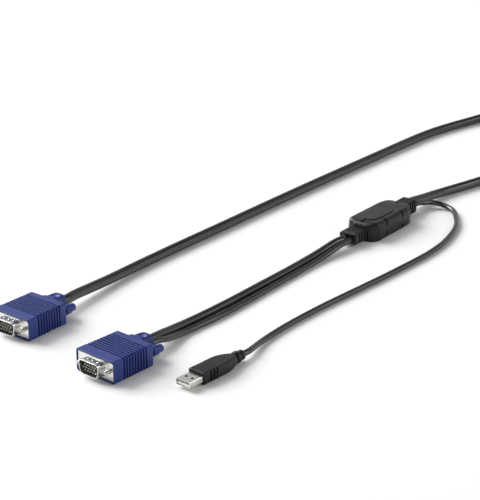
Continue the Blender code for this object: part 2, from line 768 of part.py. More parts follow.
def build_usb_plug(root, finish):
    """USB plug: black grip, nickel shell with four windows, tongue and four contacts."""
    frame = make_empty("usb_frame", (*USB_PLACE, 0.0), 0.0, root)
    middle = 0.5 * USB_GRIP_HEIGHT
    grip = link_object("usb_grip", loft("usb_grip", usb_grip_stations()), finish["black"], frame)
    half_width = 0.5 * USB_SHELL_WIDTH
    half_height = 0.5 * USB_SHELL_HEIGHT

    def shell_section(grow):
        low = middle - half_height - grow
        high = middle + half_height + grow
        return rounded_section(half_width + grow, low, high, USB_SHELL_CORNER + grow)

    hole = shell_section(GAP)
    socket = loft("usb_socket", [(-OVERCUT, hole), (USB_SHELL_SEAT + GAP, hole)])
    cut(grip, socket, frame)
    front = -USB_SHELL_REACH
    outer = shell_section(0.0)
    inner = shell_section(-USB_SHELL_WALL)
    stations = [(front, outer), (USB_SHELL_SEAT, outer), (USB_SHELL_SEAT, inner), (front, inner)]
    shell = link_object("usb_shell", loft("usb_shell", stations, True), finish["nickel"], frame)
    for side in (1.0, -1.0):
        x = front + USB_WINDOW_FROM_FRONT
        y = 0.5 * side * USB_WINDOW_SPACING
        half = 0.5 * USB_WINDOW
        window = block(
            f"usb_window_{'left' if side > 0 else 'right'}",
            (x - half, y - half, middle - USB_SHELL_HEIGHT),
            (x + half, y + half, middle + USB_SHELL_HEIGHT),
        )
        cut(shell, window, frame)
    tongue_bottom = middle - half_height + USB_SHELL_WALL + GAP
    tongue_top = tongue_bottom + USB_TONGUE_HEIGHT
    tongue_front = front + USB_TONGUE_SETBACK
    tongue_half = half_width - USB_SHELL_WALL - GAP
    tongue_points = rounded_section(tongue_half, tongue_bottom, tongue_top, USB_TONGUE_CORNER)
    tongue = loft("usb_tongue", [(tongue_front, tongue_points), (USB_SHELL_SEAT - GAP, tongue_points)])
    link_object("usb_tongue", tongue, finish["tongue"], frame)
    contact_bottom = tongue_top + 0.5 * GAP
    for number in range(USB_CONTACTS):
        y = (0.5 * (USB_CONTACTS - 1) - number) * USB_CONTACT_PITCH
        start = tongue_front + USB_CONTACT_SETBACK
        contact = block(
            f"usb_contact_{number + 1}",
            (start, y - 0.5 * USB_CONTACT_WIDTH, contact_bottom),
            (start + USB_CONTACT_LENGTH, y + 0.5 * USB_CONTACT_WIDTH, contact_bottom + USB_CONTACT_THICK),
        )
        link_object(f"usb_contact_{number + 1}", contact, finish["contact"], frame)


def relief_stations(length, width, height, axis, collar):
    """Stations of a strain relief from its open end: a plain collar, then ribs up to the body."""
    half_width = 0.5 * width
    half_height = 0.5 * height
    pitch = (length - collar - RELIEF_GROOVE_WIDTH) / (RELIEF_GROOVES - 1)
    slope = 0.2 * RELIEF_GROOVE_WIDTH

    def section(shrink):
        low = axis - half_height + shrink
        high = axis + half_height - shrink
        return rounded_section(half_width - shrink, low, high, RELIEF_EDGE)

    stations = [(0.0, section(RELIEF_END_ROUND)), (RELIEF_END_ROUND, section(0.0))]
    for groove in range(RELIEF_GROOVES):
        near = collar + groove * pitch
        far = near + RELIEF_GROOVE_WIDTH
        stations += [
            (near, section(0.0)),
            (near + slope, section(RELIEF_GROOVE_DEPTH)),
            (far - slope, section(RELIEF_GROOVE_DEPTH)),
        ]
        if groove < RELIEF_GROOVES - 1:
            stations.append((far, section(0.0)))
    return stations


def quarter_round(share):
    """The height of a unit quarter circle at a share of its width, flat from its end on."""
    return math.sqrt(1.0 - (1.0 - min(1.0, share)) ** 2)


def face_stations(full_width, width, top, length, rise, lean):
    """Stations (depth, points) of one blunt end of the body, from its face inwards.

    The end rounds off over its length, its top falls over the rise, and its face leans inwards.
    """
    stations = []
    for step in range(FACE_STEPS + 1):
        depth = length * (step / FACE_STEPS) ** 2
        height = top + (JOINT_HEIGHT - top) * quarter_round(depth / rise)

        def half_width(place):
            return 0.5 * (width + (full_width - width) * quarter_round(max(0.0, place) / length))

        half = half_width(depth)
        points = []
        for y, z in rounded_section(half, 0.0, height, JOINT_EDGE, foot=JOINT_FOOT_EDGE):
            points.append((y * half_width(depth - lean * z / height) / half, z))
        stations.append((depth, points))
    return stations


def joint_body_stations():
    """Stations of the body from its left face to its right one, close together at the side notches."""
    left = (JOINT_WIDTH, LEFT_FACE_WIDTH, LEFT_FACE_TOP, LEFT_FACE_ROUND, LEFT_FACE_RISE, LEFT_FACE_LEAN)
    stations = face_stations(*left)
    for share in SIDE_NOTCH_SHARES:
        for side in (-1.0, 1.0):
            x = share * JOINT_BODY_LENGTH + side * NOTCH_WIDTH
            half = 0.5 * (JOINT_WIDTH - JOINT_RIGHT_NARROWING * x / JOINT_BODY_LENGTH)
            points = rounded_section(half, 0.0, JOINT_HEIGHT, JOINT_EDGE, foot=JOINT_FOOT_EDGE)
            stations.append((x, points))
    width = JOINT_WIDTH - JOINT_RIGHT_NARROWING
    right = (width, RIGHT_FACE_WIDTH, RIGHT_FACE_TOP, RIGHT_FACE_ROUND, RIGHT_FACE_RISE, RIGHT_FACE_LEAN)
    for depth, points in reversed(face_stations(*right)):
        stations.append((JOINT_BODY_LENGTH - depth, points))
    return stations


def panel_data(start):
    """The raised panel on top of the body: a long lozenge with round ends and a bevelled edge."""
    bm = bmesh.new()
    half_length = 0.5 * PANEL_LENGTH
    half_width = 0.5 * PANEL_WIDTH
    centre = start + PANEL_CENTRE_SHARE * JOINT_BODY_LENGTH
    squareness = 0.62
    points = []
    for step in range(PANEL_STEPS):
        angle = 2.0 * math.pi * step / PANEL_STEPS
        cosine = math.cos(angle)
        sine = math.sin(angle)
        x = half_length * math.copysign(abs(cosine) ** squareness, cosine)
        y = half_width * math.copysign(abs(sine) ** squareness, sine)
        points.append(bm.verts.new((centre + x, y, JOINT_HEIGHT - PANEL_ROOT)))
    base = bm.faces.new(points)
    raised = bmesh.ops.extrude_face_region(bm, geom=[base])
    top = [item for item in raised["geom"] if isinstance(item, bmesh.types.BMVert)]
    bmesh.ops.translate(bm, verts=top, vec=(0.0, 0.0, PANEL_ROOT + PANEL_HEIGHT))
    rim = [edge for edge in bm.edges if all(vertex in top for vertex in edge.verts)]
    bmesh.ops.bevel(bm, geom=rim, offset=PANEL_BEVEL, segments=2, profile=0.5, affect="EDGES")
    return finish_mesh(bm, "joint_panel")


def notch_data(start):
    """The short slits across the body's edges, as one set of separate blocks."""
    bm = bmesh.new()
    half_corner = 1.0 - math.sqrt(0.5)
    side_slit = Matrix.Diagonal((NOTCH_WIDTH, SIDE_NOTCH_LENGTH, 2.0 * NOTCH_DEPTH, 1.0))
    for share in SIDE_NOTCH_SHARES:
        x = start + share * JOINT_BODY_LENGTH
        half_width = 0.5 * (JOINT_WIDTH - JOINT_RIGHT_NARROWING * share)
        for side in (1.0, -1.0):
            for level, corner in ((1.0, JOINT_EDGE), (-1.0, JOINT_FOOT_EDGE)):
                y = side * (half_width - half_corner * corner)
                z = 0.5 * JOINT_HEIGHT + level * (0.5 * JOINT_HEIGHT - half_corner * corner)
                lean = Matrix.Rotation(-side * level * SIDE_NOTCH_LEAN, 4, "X")
                matrix = Matrix.Translation((x, y, z)) @ lean @ side_slit
                bmesh.ops.create_cube(bm, size=1.0, matrix=matrix)
    end_slit = Matrix.Diagonal((END_NOTCH_LENGTH, NOTCH_WIDTH, 2.0 * NOTCH_DEPTH, 1.0))
    for share, slope in ((LEFT_NOTCH_SHARE, LEFT_NOTCH_SLOPE), (RIGHT_NOTCH_SHARE, RIGHT_NOTCH_SLOPE)):
        middle = Matrix.Translation((start + share * JOINT_BODY_LENGTH, 0.0, JOINT_HEIGHT))
        matrix = middle @ Matrix.Rotation(slope, 4, "Y") @ end_slit
        bmesh.ops.create_cube(bm, size=1.0, matrix=matrix)
    return finish_mesh(bm, "joint_notches")


def build_joint(root, finish):
    """The joint housing with both strain reliefs, its raised panel and its edge notches."""
    frame = make_empty("joint_frame", (*JOINT_PLACE, 0.0), JOINT_TURN, root)
    body_start = LEFT_RELIEF_LENGTH
    right_end = LEFT_RELIEF_LENGTH + JOINT_BODY_LENGTH + RIGHT_RELIEF_LENGTH
    left_relief = relief_stations(
        LEFT_RELIEF_LENGTH,
        LEFT_RELIEF_WIDTH,
        LEFT_RELIEF_HEIGHT,
        LEFT_AXIS_HEIGHT,
        LEFT_RELIEF_COLLAR,
    )
    right_relief = relief_stations(
        RIGHT_RELIEF_LENGTH,
        RIGHT_RELIEF_WIDTH,
        RIGHT_RELIEF_HEIGHT,
        RIGHT_AXIS_HEIGHT,
        RIGHT_RELIEF_COLLAR,
    )
    stations = left_relief + [(body_start + x, points) for x, points in joint_body_stations()]
    stations += [(right_end - x, points) for x, points in reversed(right_relief)]
    housing = link_object("joint_housing", loft("joint_housing", stations), finish["black"], frame)
    combine(housing, panel_data(body_start), frame, "UNION")
    cut(housing, notch_data(body_start), frame)


def joint_point(x, y, height):
    """A desk point (x, y, height) at a place along and across the joint housing."""
    cosine = math.cos(JOINT_TURN)
    sine = math.sin(JOINT_TURN)
    place = (JOINT_PLACE[0] + x * cosine - y * sine, JOINT_PLACE[1] + x * sine + y * cosine)
    return (*place, height)


def plug_point(place, turn, x, y):
    """A desk point (x, y, height) at a place behind a video plug's boot."""
    cosine = math.cos(turn)
    sine = math.sin(turn)
    return (place[0] + x * cosine - y * sine, place[1] + x * sine + y * cosine, 0.5 * HOOD_HEIGHT)


def smooth_route(points, spacing):
    """Points on a smooth curve through the route's own points, evenly spaced between its ends.

    The first and the last stretch stay whole, so that a cord leaves its piece squarely.
    """
    route = [Vector(point) for point in points]
    padded = [2.0 * route[0] - route[1]] + route + [2.0 * route[-1] - route[-2]]
    divisions = 16
    fine = []
    for before, start, end, after in zip(padded, padded[1:], padded[2:], padded[3:]):
        for step in range(divisions):
            t = step / divisions
            fine.append(
                0.5
                * (
                    2.0 * start
                    + (end - before) * t
                    + (2.0 * before - 5.0 * start + 4.0 * end - after) * t * t
                    + (3.0 * start - before - 3.0 * end + after) * t * t * t
                )
            )
    fine.append(route[-1])
    steps = [(b - a).length for a, b in zip(fine, fine[1:])]
    travelled = np.concatenate(([0.0], np.cumsum(steps)))
    first = travelled[divisions]
    last = travelled[-1 - divisions]
    count = max(4, int(math.ceil((last - first) / spacing)) + 1)
    wanted = [0.0, *np.linspace(first, last, count), travelled[-1]]
    table = np.array([tuple(point) for point in fine])
    return [tuple(np.interp(place, travelled, table[:, axis]) for axis in range(3)) for place in wanted]


def build_cord(name, points, diameter, root, material, resolution=3):
    """A round cord as a bevelled curve with filled ends."""
    data = bpy.data.curves.new(name, "CURVE")
    data.dimensions = "3D"
    data.bevel_depth = 0.5 * diameter
    data.bevel_resolution = resolution
    data.use_fill_caps = True
    data.resolution_u = 1
    route = smooth_route(points, CORD_SPACING * diameter)
    spline = data.splines.new("POLY")
    spline.points.add(len(route) - 1)
    for knot, place in zip(spline.points, route):
        knot.co = (*place, 1.0)
    link_object(name, data, material, root)


def build_cords(root, finish):
    """Every cord, from its exit at one piece to its entry at the next."""
    boot_end = HOOD_LENGTH + BOOT_LENGTH + GAP
    straight = CORD_LEAD
    joint_left = -GAP
    joint_right = LEFT_RELIEF_LENGTH + JOINT_BODY_LENGTH + RIGHT_RELIEF_LENGTH + GAP
    usb_end = USB_GRIP_LENGTH + USB_RELIEF_LENGTH + GAP

    console_start = [
        plug_point(CONSOLE_PLACE, CONSOLE_TURN, boot_end, 0.0),
        plug_point(CONSOLE_PLACE, CONSOLE_TURN, boot_end + straight, 0.0),
    ]
    way_out = console_start + list(CONSOLE_OUT_ROUTE)
    build_cord("console_cord_out", way_out, CONSOLE_CORD, root, finish["cord"])
    joint_end = [
        joint_point(joint_right + straight, CONSOLE_CORD_OFFSET, RIGHT_AXIS_HEIGHT),
        joint_point(joint_right, CONSOLE_CORD_OFFSET, RIGHT_AXIS_HEIGHT),
    ]
    way_back = list(CONSOLE_RETURN_ROUTE) + joint_end
    build_cord("console_cord_return", way_back, CONSOLE_CORD, root, finish["cord"])

    for name, offset, route, diameter, sides in (
        ("video_cord", VIDEO_CORD_OFFSET, VIDEO_ROUTE, VIDEO_CORD, 3),
        ("link_cord", LINK_CORD_OFFSET, LINK_ROUTE, LINK_CORD, 2),
    ):
        start = [
            plug_point(VIDEO_PLACE, VIDEO_TURN, boot_end, offset),
            plug_point(VIDEO_PLACE, VIDEO_TURN, boot_end + straight, offset),
        ]
        end = [joint_point(x, offset, LEFT_AXIS_HEIGHT) for x in (joint_left - straight, joint_left)]
        build_cord(name, start + list(route) + end, diameter, root, finish["cord"], sides)

    usb_start = [
        joint_point(joint_right, USB_CORD_OFFSET, RIGHT_AXIS_HEIGHT),
        joint_point(joint_right + straight, USB_CORD_OFFSET, RIGHT_AXIS_HEIGHT),
    ]
    exit_height = 0.5 * USB_GRIP_HEIGHT
    usb_finish = [
        (USB_PLACE[0] + usb_end + straight, USB_PLACE[1], exit_height),
        (USB_PLACE[0] + usb_end, USB_PLACE[1], exit_height),
    ]
    build_cord("usb_cord", usb_start + list(USB_ROUTE) + usb_finish, USB_CORD, root, finish["cord"], 2)


def coil_section(grow):
    """The outer shape of the wound turns as (radius, z), grown by a distance."""
    inner = COIL_OUTER_TURN - 1.5 * CONSOLE_CORD
    outer = COIL_OUTER_TURN + 0.5 * CONSOLE_CORD
    bottom = TIE_THICK + GAP
    middle = 0.5 * (inner + outer)
    half = 0.5 * (outer - inner) + grow
    points = rounded_section(half, bottom - grow, bottom + COIL_HEIGHT + grow, 0.5 * CONSOLE_CORD + grow)
    return [(middle + y, z) for y, z in points]


def build_coil(root, finish):
    """The coil as one turned ring, and the tie that holds its turns."""
    bm = bmesh.new()
    ring = [bm.verts.new((radius, 0.0, z)) for radius, z in coil_section(0.0)]
    edges = [bm.edges.new((ring[i], ring[(i + 1) % len(ring)])) for i in range(len(ring))]
    bmesh.ops.spin(
        bm,
        geom=ring + edges,
        cent=(0.0, 0.0, 0.0),
        axis=(0.0, 0.0, 1.0),
        angle=2.0 * math.pi,
        steps=32,
        use_merge=True,
    )
    bmesh.ops.remove_doubles(bm, verts=bm.verts[:], dist=1e-7)
    coil = link_object("console_cord_coil", finish_mesh(bm, "console_cord_coil"), finish["cord"], root)
    coil.location = (*COIL_CENTRE, 0.0)
    inner = coil_section(GAP)
    outer = coil_section(GAP + TIE_THICK)
    bm = bmesh.new()
    rings = []
    for section, shares in ((outer, (-0.5, 0.0, 0.5)), (inner, (0.5, 0.0, -0.5))):
        for share in shares:
            turn = Matrix.Rotation(TIE_PLACE + share * TIE_SPREAD, 3, "Z")
            rings.append([bm.verts.new(turn @ Vector((radius, 0.0, z))) for radius, z in section])
    for first, second in zip(rings, rings[1:] + rings[:1]):
        bridge_rings(bm, first, second)
    tie = link_object("coil_tie", finish_mesh(bm, "coil_tie"), finish["tie"], root)
    tie.location = (*COIL_CENTRE, 0.0)


def make_finishes():
    """The surfaces of the cable's pieces."""
    return {
        "blue": make_material("blue_moulding", (0.060, 0.085, 0.300), 0.45),
        "nickel": make_material("bright_nickel", (0.75, 0.75, 0.73), 0.25, 1.0),
        "steel": make_material("screw_steel", (0.55, 0.55, 0.55), 0.30, 1.0),
        "contact": make_material("contact_plating", (0.80, 0.77, 0.66), 0.25, 1.0),
        "insulator": make_material("black_insulator", (0.015, 0.015, 0.015), 0.50),
        "black": make_material("black_moulding", (0.035, 0.035, 0.036), 0.50),
        "cord": make_material("cord_jacket", (0.030, 0.030, 0.031), 0.42),
        "tongue": make_material("pale_tongue", (0.80, 0.80, 0.76), 0.45),
        "tie": make_material("tie_plastic", (0.025, 0.025, 0.025), 0.60),
    }


def main():
    """Build the whole cable."""
    clear_scene()
    finish = make_finishes()
    root = make_empty("cable_frame", (-DESK_CENTRE[0], -DESK_CENTRE[1], 0.0), 0.0, None)
    build_video_plug("video", VIDEO_PLACE, VIDEO_TURN, root, finish)
    build_video_plug("console", CONSOLE_PLACE, CONSOLE_TURN, root, finish)
    build_usb_plug(root, finish)
    build_joint(root, finish)
    build_cords(root, finish)
    build_coil(root, finish)
    bpy.context.view_layer.update()


main()
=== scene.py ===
"""Dressed scene of a video and USB console cable that lies on a pale desk.

Lengths are metres, +Z is up and the desk is at Z = 0. Layout points are measured from the front
of the single video plug, as in the part's own model, and are then centred on the origin.
"""

from __future__ import annotations

import logging
import math
from dataclasses import dataclass
from enum import Enum
from typing import Sequence

import bmesh
import bpy
from mathutils import Matrix, Vector


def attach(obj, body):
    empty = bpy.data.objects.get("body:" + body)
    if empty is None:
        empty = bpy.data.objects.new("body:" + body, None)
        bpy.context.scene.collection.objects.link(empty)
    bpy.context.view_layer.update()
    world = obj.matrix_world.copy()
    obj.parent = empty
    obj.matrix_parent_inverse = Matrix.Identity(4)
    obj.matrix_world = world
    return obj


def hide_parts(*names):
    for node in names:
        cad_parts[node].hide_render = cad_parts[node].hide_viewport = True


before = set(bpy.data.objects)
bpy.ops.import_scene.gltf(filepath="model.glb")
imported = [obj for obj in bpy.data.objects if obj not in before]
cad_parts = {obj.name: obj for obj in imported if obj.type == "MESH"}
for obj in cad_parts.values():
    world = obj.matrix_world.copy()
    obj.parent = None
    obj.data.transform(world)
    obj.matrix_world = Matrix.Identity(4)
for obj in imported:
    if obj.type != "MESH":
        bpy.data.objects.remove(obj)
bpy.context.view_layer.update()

LOG = logging.getLogger("console_cable")
CABLE_BODY = "cable"
DESK_CENTRE = Vector((0.18996, 0.02373, 0.0))


class Lay(Enum):
    """How a cord lies."""

    LOOSE = "loose"
    COILED = "coiled"


class Stiffness(Enum):
    """How stiff a cord is."""

    LIMP = "limp"
    MEDIUM = "medium"


class Slot(Enum):
    """Material slots of the record, one named for each new piece."""

    CORD = "cord_jacket"
    TIE = "tie_plastic"
    HOOD = "blue_moulding"
    PLATE = "bright_nickel"
    SCREW = "screw_steel"
    MOULDING = "black_moulding"


@dataclass(frozen=True)
class Placement:
    """A piece's own frame on the desk: its origin and its turn about +Z in degrees."""

    x: float
    y: float
    turn: float = 0.0

    def point(self, along: float, across: float, height: float) -> Vector:
        """A layout point from a place in the piece's own frame.

        Args:
            along: Distance along the piece.
            across: Distance to its left.
            height: Height over the desk.

        Returns:
            The point in layout coordinates.
        """
        angle = math.radians(self.turn)
        x = self.x + along * math.cos(angle) - across * math.sin(angle)
        y = self.y + along * math.sin(angle) + across * math.cos(angle)
        return Vector((x, y, height))


VIDEO_PLUG = Placement(0.0, 0.0)
CONSOLE_PLUG = Placement(0.0072, 0.0909, 3.2)
USB_PLUG = Placement(0.0384, -0.0554)
JOINT = Placement(0.2930, 0.0186, 4.5)

# Sizes that several pieces of a video plug share.
HOOD_LENGTH = 0.0380
PLUG_AXIS = 0.00815
SCREW_SPACING = 0.02499
BORE_RADIUS = 0.00177

# Divisions of round forms, and how far a cut starts outside the solid that it cuts.
CURVE_STEPS = 16
CORNER_STEPS = 8
TURNED_STEPS = 40
OVERCUT = 0.001


def link(name: str, data: bpy.types.ID) -> bpy.types.Object:
    """Put mesh, curve, light or camera data in the scene.

    Args:
        name: The object's name.
        data: Its data.

    Returns:
        The new object.
    """
    item = bpy.data.objects.new(name, data)
    bpy.context.scene.collection.objects.link(item)
    return item

def add_node(
    tree: bpy.types.NodeTree, kind: str, values: dict[str, float] | None = None
) -> bpy.types.Node:
    """Add a shader node.

    Args:
        tree: The node tree.
        kind: The node's type.
        values: What its inputs are set to, by their names.

    Returns:
        The new node.
    """
    node = tree.nodes.new(kind)
    for name, value in (values or {}).items():
        node.inputs[name].default_value = value
    return node


def wire(tree: bpy.types.NodeTree, *wires: tuple) -> None:
    """Link shader nodes; each wire is a node, its output, the next node and its input."""
    for source, output, target, entry in wires:
        tree.links.new(source.outputs[output], target.inputs[entry])


class MouldedGrain:
    """Node group: fine spark-eroded grain and slow mottling of a moulded or extruded surface."""

    NAME = "moulded_grain"
    SCALES = (("Grain Scale", 1400.0), ("Mottle Scale", 90.0))
    OUTPUTS = ("Height", "Mottle")
    PIT_SHARE = 0.45

    @classmethod
    def tree(cls) -> bpy.types.NodeTree:
        """The node group, built once.

        Returns:
            A group with Height and Mottle outputs.
        """
        if cls.NAME in bpy.data.node_groups:
            return bpy.data.node_groups[cls.NAME]
        tree = bpy.data.node_groups.new(cls.NAME, "ShaderNodeTree")
        sockets = tree.interface
        sockets.new_socket(name="Vector", in_out="INPUT", socket_type="NodeSocketVector")
        for name, value in cls.SCALES:
            scale = sockets.new_socket(name=name, in_out="INPUT", socket_type="NodeSocketFloat")
            scale.default_value = value
        for name in cls.OUTPUTS:
            sockets.new_socket(name=name, in_out="OUTPUT", socket_type="NodeSocketFloat")
        entry = add_node(tree, "NodeGroupInput")
        result = add_node(tree, "NodeGroupOutput")
        fine = add_node(tree, "ShaderNodeTexNoise", {"Detail": 3.0, "Roughness": 0.62})
        pits = add_node(tree, "ShaderNodeTexVoronoi", {"Randomness": 1.0})
        blend = add_node(tree, "ShaderNodeMath")
        blend.operation = "MULTIPLY_ADD"
        blend.inputs[1].default_value = cls.PIT_SHARE
        slow = add_node(tree, "ShaderNodeTexNoise", {"Detail": 2.0})
        spread = add_node(tree, "ShaderNodeMapRange", {"From Min": 0.32, "From Max": 0.68})
        wire(
            tree,
            *((entry, "Vector", texture, "Vector") for texture in (fine, pits, slow)),
            (entry, "Grain Scale", fine, "Scale"),
            (entry, "Grain Scale", pits, "Scale"),
            (entry, "Mottle Scale", slow, "Scale"),
            (pits, "Distance", blend, 0),
            (fine, "Fac", blend, 2),
            (slow, "Fac", spread, "Value"),
            (blend, "Value", result, "Height"),
            (spread, "Result", result, "Mottle"),
        )
        return tree


@dataclass(frozen=True)
class Finish:
    """A surface finish: two close colours that mottle, a gloss range and a grain."""

    name: str
    light: tuple[float, float, float]
    dark: tuple[float, float, float]
    gloss_low: float
    gloss_high: float
    grain: float
    mottle: float
    relief: float
    metallic: float = 0.0
    specular: float = 0.5

    def material(self) -> bpy.types.Material:
        """The finish as a material, built once.

        Returns:
            A material whose colour, roughness and bump come from the moulded grain.
        """
        if self.name in bpy.data.materials:
            return bpy.data.materials[self.name]
        material = bpy.data.materials.new(self.name)
        material.use_nodes = True
        material.diffuse_color = (*self.light, 1.0)
        tree = material.node_tree
        shader = tree.nodes["Principled BSDF"]
        shader.inputs["Metallic"].default_value = self.metallic
        shader.inputs["Specular IOR Level"].default_value = self.specular
        places = add_node(tree, "ShaderNodeTexCoord")
        effect = add_node(tree, "ShaderNodeGroup")
        effect.node_tree = MouldedGrain.tree()
        effect.inputs["Grain Scale"].default_value = self.grain
        effect.inputs["Mottle Scale"].default_value = self.mottle
        colour = add_node(tree, "ShaderNodeMix")
        colour.data_type = "RGBA"
        colour.inputs["A"].default_value = (*self.light, 1.0)
        colour.inputs["B"].default_value = (*self.dark, 1.0)
        limits = {"To Min": self.gloss_low, "To Max": self.gloss_high}
        gloss = add_node(tree, "ShaderNodeMapRange", limits)
        bump = add_node(tree, "ShaderNodeBump", {"Strength": 0.6, "Distance": self.relief})
        wire(
            tree,
            (places, "Object", effect, "Vector"),
            (effect, "Mottle", colour, "Factor"),
            (colour, "Result", shader, "Base Color"),
            (effect, "Mottle", gloss, "Value"),
            (gloss, "Result", shader, "Roughness"),
            (effect, "Height", bump, "Height"),
            (bump, "Normal", shader, "Normal"),
        )
        return material

    def dress(self, *names: str) -> None:
        """Give the finish to CAD nodes."""
        for name in names:
            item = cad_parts[name]
            item.data.materials.clear()
            item.data.materials.append(self.material())
            LOG.info("%s dressed in %s", name, self.name)


BLUE = Finish(
    "blue_hood_plastic", (0.020, 0.041, 0.208), (0.015, 0.033, 0.172),
    0.38, 0.48, 1500, 60, 0.00006, specular=0.36,
)
BLACK = Finish(
    "black_moulded_plastic", (0.011, 0.011, 0.011), (0.007, 0.007, 0.007),
    0.27, 0.38, 1600, 70, 0.00005, specular=0.32,
)
JACKET = Finish(
    "black_cord_jacket", (0.009, 0.009, 0.009), (0.006, 0.006, 0.006),
    0.22, 0.31, 900, 45, 0.00004, specular=0.9,
)
NICKEL = Finish(
    "bright_nickel_plate", (0.90, 0.90, 0.86), (0.78, 0.78, 0.74),
    0.19, 0.31, 500, 140, 0.00003, metallic=1.0,
)
STEEL = Finish(
    "turned_screw_steel", (0.62, 0.61, 0.57), (0.47, 0.46, 0.43),
    0.20, 0.34, 900, 200, 0.00003, metallic=1.0,
)
PINS = Finish(
    "pin_plating", (0.97, 0.95, 0.90), (0.90, 0.88, 0.81),
    0.22, 0.36, 900, 300, 0.00001, metallic=0.8,
)
INSULATOR = Finish(
    "black_insulator", (0.010, 0.010, 0.009), (0.006, 0.006, 0.005),
    0.50, 0.62, 1500, 200, 0.00004, specular=0.3,
)
TONGUE = Finish(
    "pale_tongue_plastic", (0.93, 0.93, 0.90), (0.88, 0.88, 0.85),
    0.38, 0.48, 1500, 150, 0.00003,
)
TIE = Finish(
    "tie_plastic", (0.016, 0.016, 0.016), (0.010, 0.010, 0.010),
    0.46, 0.58, 1200, 120, 0.00005, specular=0.4,
)


def declare(piece: bpy.types.Object, finish: Finish, slot: Slot, body: str, *nodes: str) -> None:
    """Dress a new piece and say how it joins the model.

    Args:
        piece: The new piece.
        finish: Its finish.
        slot: Its material slot; not used.
        body: The body that it rides on.
        nodes: The CAD nodes that it stands for.
    """
    piece.data.materials.append(finish.material())
    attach(piece, body)
    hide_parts(*nodes)
    LOG.info("%s rides %s and stands for %s", piece.name, body, ", ".join(nodes))


def eased(share: float) -> float:
    """A share from 0 to 1 that starts and ends gently."""
    return share * share * (3.0 - 2.0 * share)


def smooth_route(points: Sequence[Vector], spacing: float) -> list[Vector]:
    """Even points along a Catmull-Rom curve through a route.

    Args:
        points: The route's own points.
        spacing: The wanted distance between the new points.

    Returns:
        Points from the route's first to its last, evenly spaced.
    """
    padded = [2.0 * points[0] - points[1], *points, 2.0 * points[-1] - points[-2]]
    fine: list[Vector] = []
    for before, start, end, after in zip(padded, padded[1:], padded[2:], padded[3:]):
        for step in range(CURVE_STEPS):
            t = step / CURVE_STEPS
            bend = 2.0 * before - 5.0 * start + 4.0 * end - after
            curl = 3.0 * start - before - 3.0 * end + after
            fine.append(0.5 * (2.0 * start + (end - before) * t + bend * t**2 + curl * t**3))
    fine.append(points[-1].copy())
    travelled = [0.0]
    for first, second in zip(fine, fine[1:]):
        travelled.append(travelled[-1] + (second - first).length)
    count = max(8, round(travelled[-1] / spacing))
    even: list[Vector] = []
    index = 0
    for step in range(count + 1):
        wanted = travelled[-1] * step / count
        while index < len(fine) - 2 and travelled[index + 1] < wanted:
            index += 1
        stretch = travelled[index + 1] - travelled[index]
        share = (wanted - travelled[index]) / stretch if stretch > 0.0 else 0.0
        even.append(fine[index].lerp(fine[index + 1], min(1.0, share)))
    return even


@dataclass(frozen=True)
class Section:
    """A section across a moulding: a rectangle with round upper corners and round feet."""

    half_width: float
    bottom: float
    top: float
    corner: float
    foot: float | None = None

    def points(self) -> list[tuple[float, float]]:
        """Points round the section.

        Returns:
            Points (y, z) of four corners, from its left side upwards.
        """
        middle = 0.5 * (self.bottom + self.top)
        half_height = 0.5 * (self.top - self.bottom)
        largest = 0.98 * min(self.half_width, half_height)
        found = []
        for quarter in range(4):
            upper = quarter in (0, 1)
            side_y = 1.0 if quarter in (0, 3) else -1.0
            side_z = 1.0 if upper else -1.0
            radius = min(self.corner if upper or self.foot is None else self.foot, largest)
            for step in range(CORNER_STEPS + 1):
                angle = 0.5 * math.pi * (quarter + step / CORNER_STEPS)
                y = side_y * (self.half_width - radius) + radius * math.cos(angle)
                z = middle + side_z * (half_height - radius) + radius * math.sin(angle)
                found.append((y, z))
        return found


Station = tuple[float, list[tuple[float, float]]]


def centred(half_width: float, middle: float, half_height: float, corner: float) -> Section:
    """A section about a middle height, with all four corners alike."""
    return Section(half_width, middle - half_height, middle + half_height, corner)


def quarter_turn(radius: float, steps: int = 3) -> list[tuple[float, float]]:
    """How far a rounded edge is from its second face and from its first, over a quarter turn."""
    angles = [math.radians(90.0 * step / steps) for step in range(steps + 1)]
    return [(radius * (1.0 - math.sin(a)), radius * (1.0 - math.cos(a))) for a in angles]


@dataclass(frozen=True)
class Grooves:
    """A row of grooves: how many, where they start, their pitch and their shape.

    The edge is offsets from where a groove starts, each with the fall there, down to its floor.
    """

    count: int
    start: float
    pitch: float
    width: float
    depth: float
    edge: tuple[tuple[float, float], ...]

    def profile(self) -> list[tuple[float, float]]:
        """Where the grooves fall and rise.

        Returns:
            Pairs of a place and the depth there.
        """
        found = []
        falls = [(offset, min(fall, self.depth)) for offset, fall in self.edge]
        for index in range(self.count):
            start = self.start + index * self.pitch
            found += [(start + offset, fall) for offset, fall in falls]
            found += [(start + self.width - offset, fall) for offset, fall in reversed(falls)]
        return found


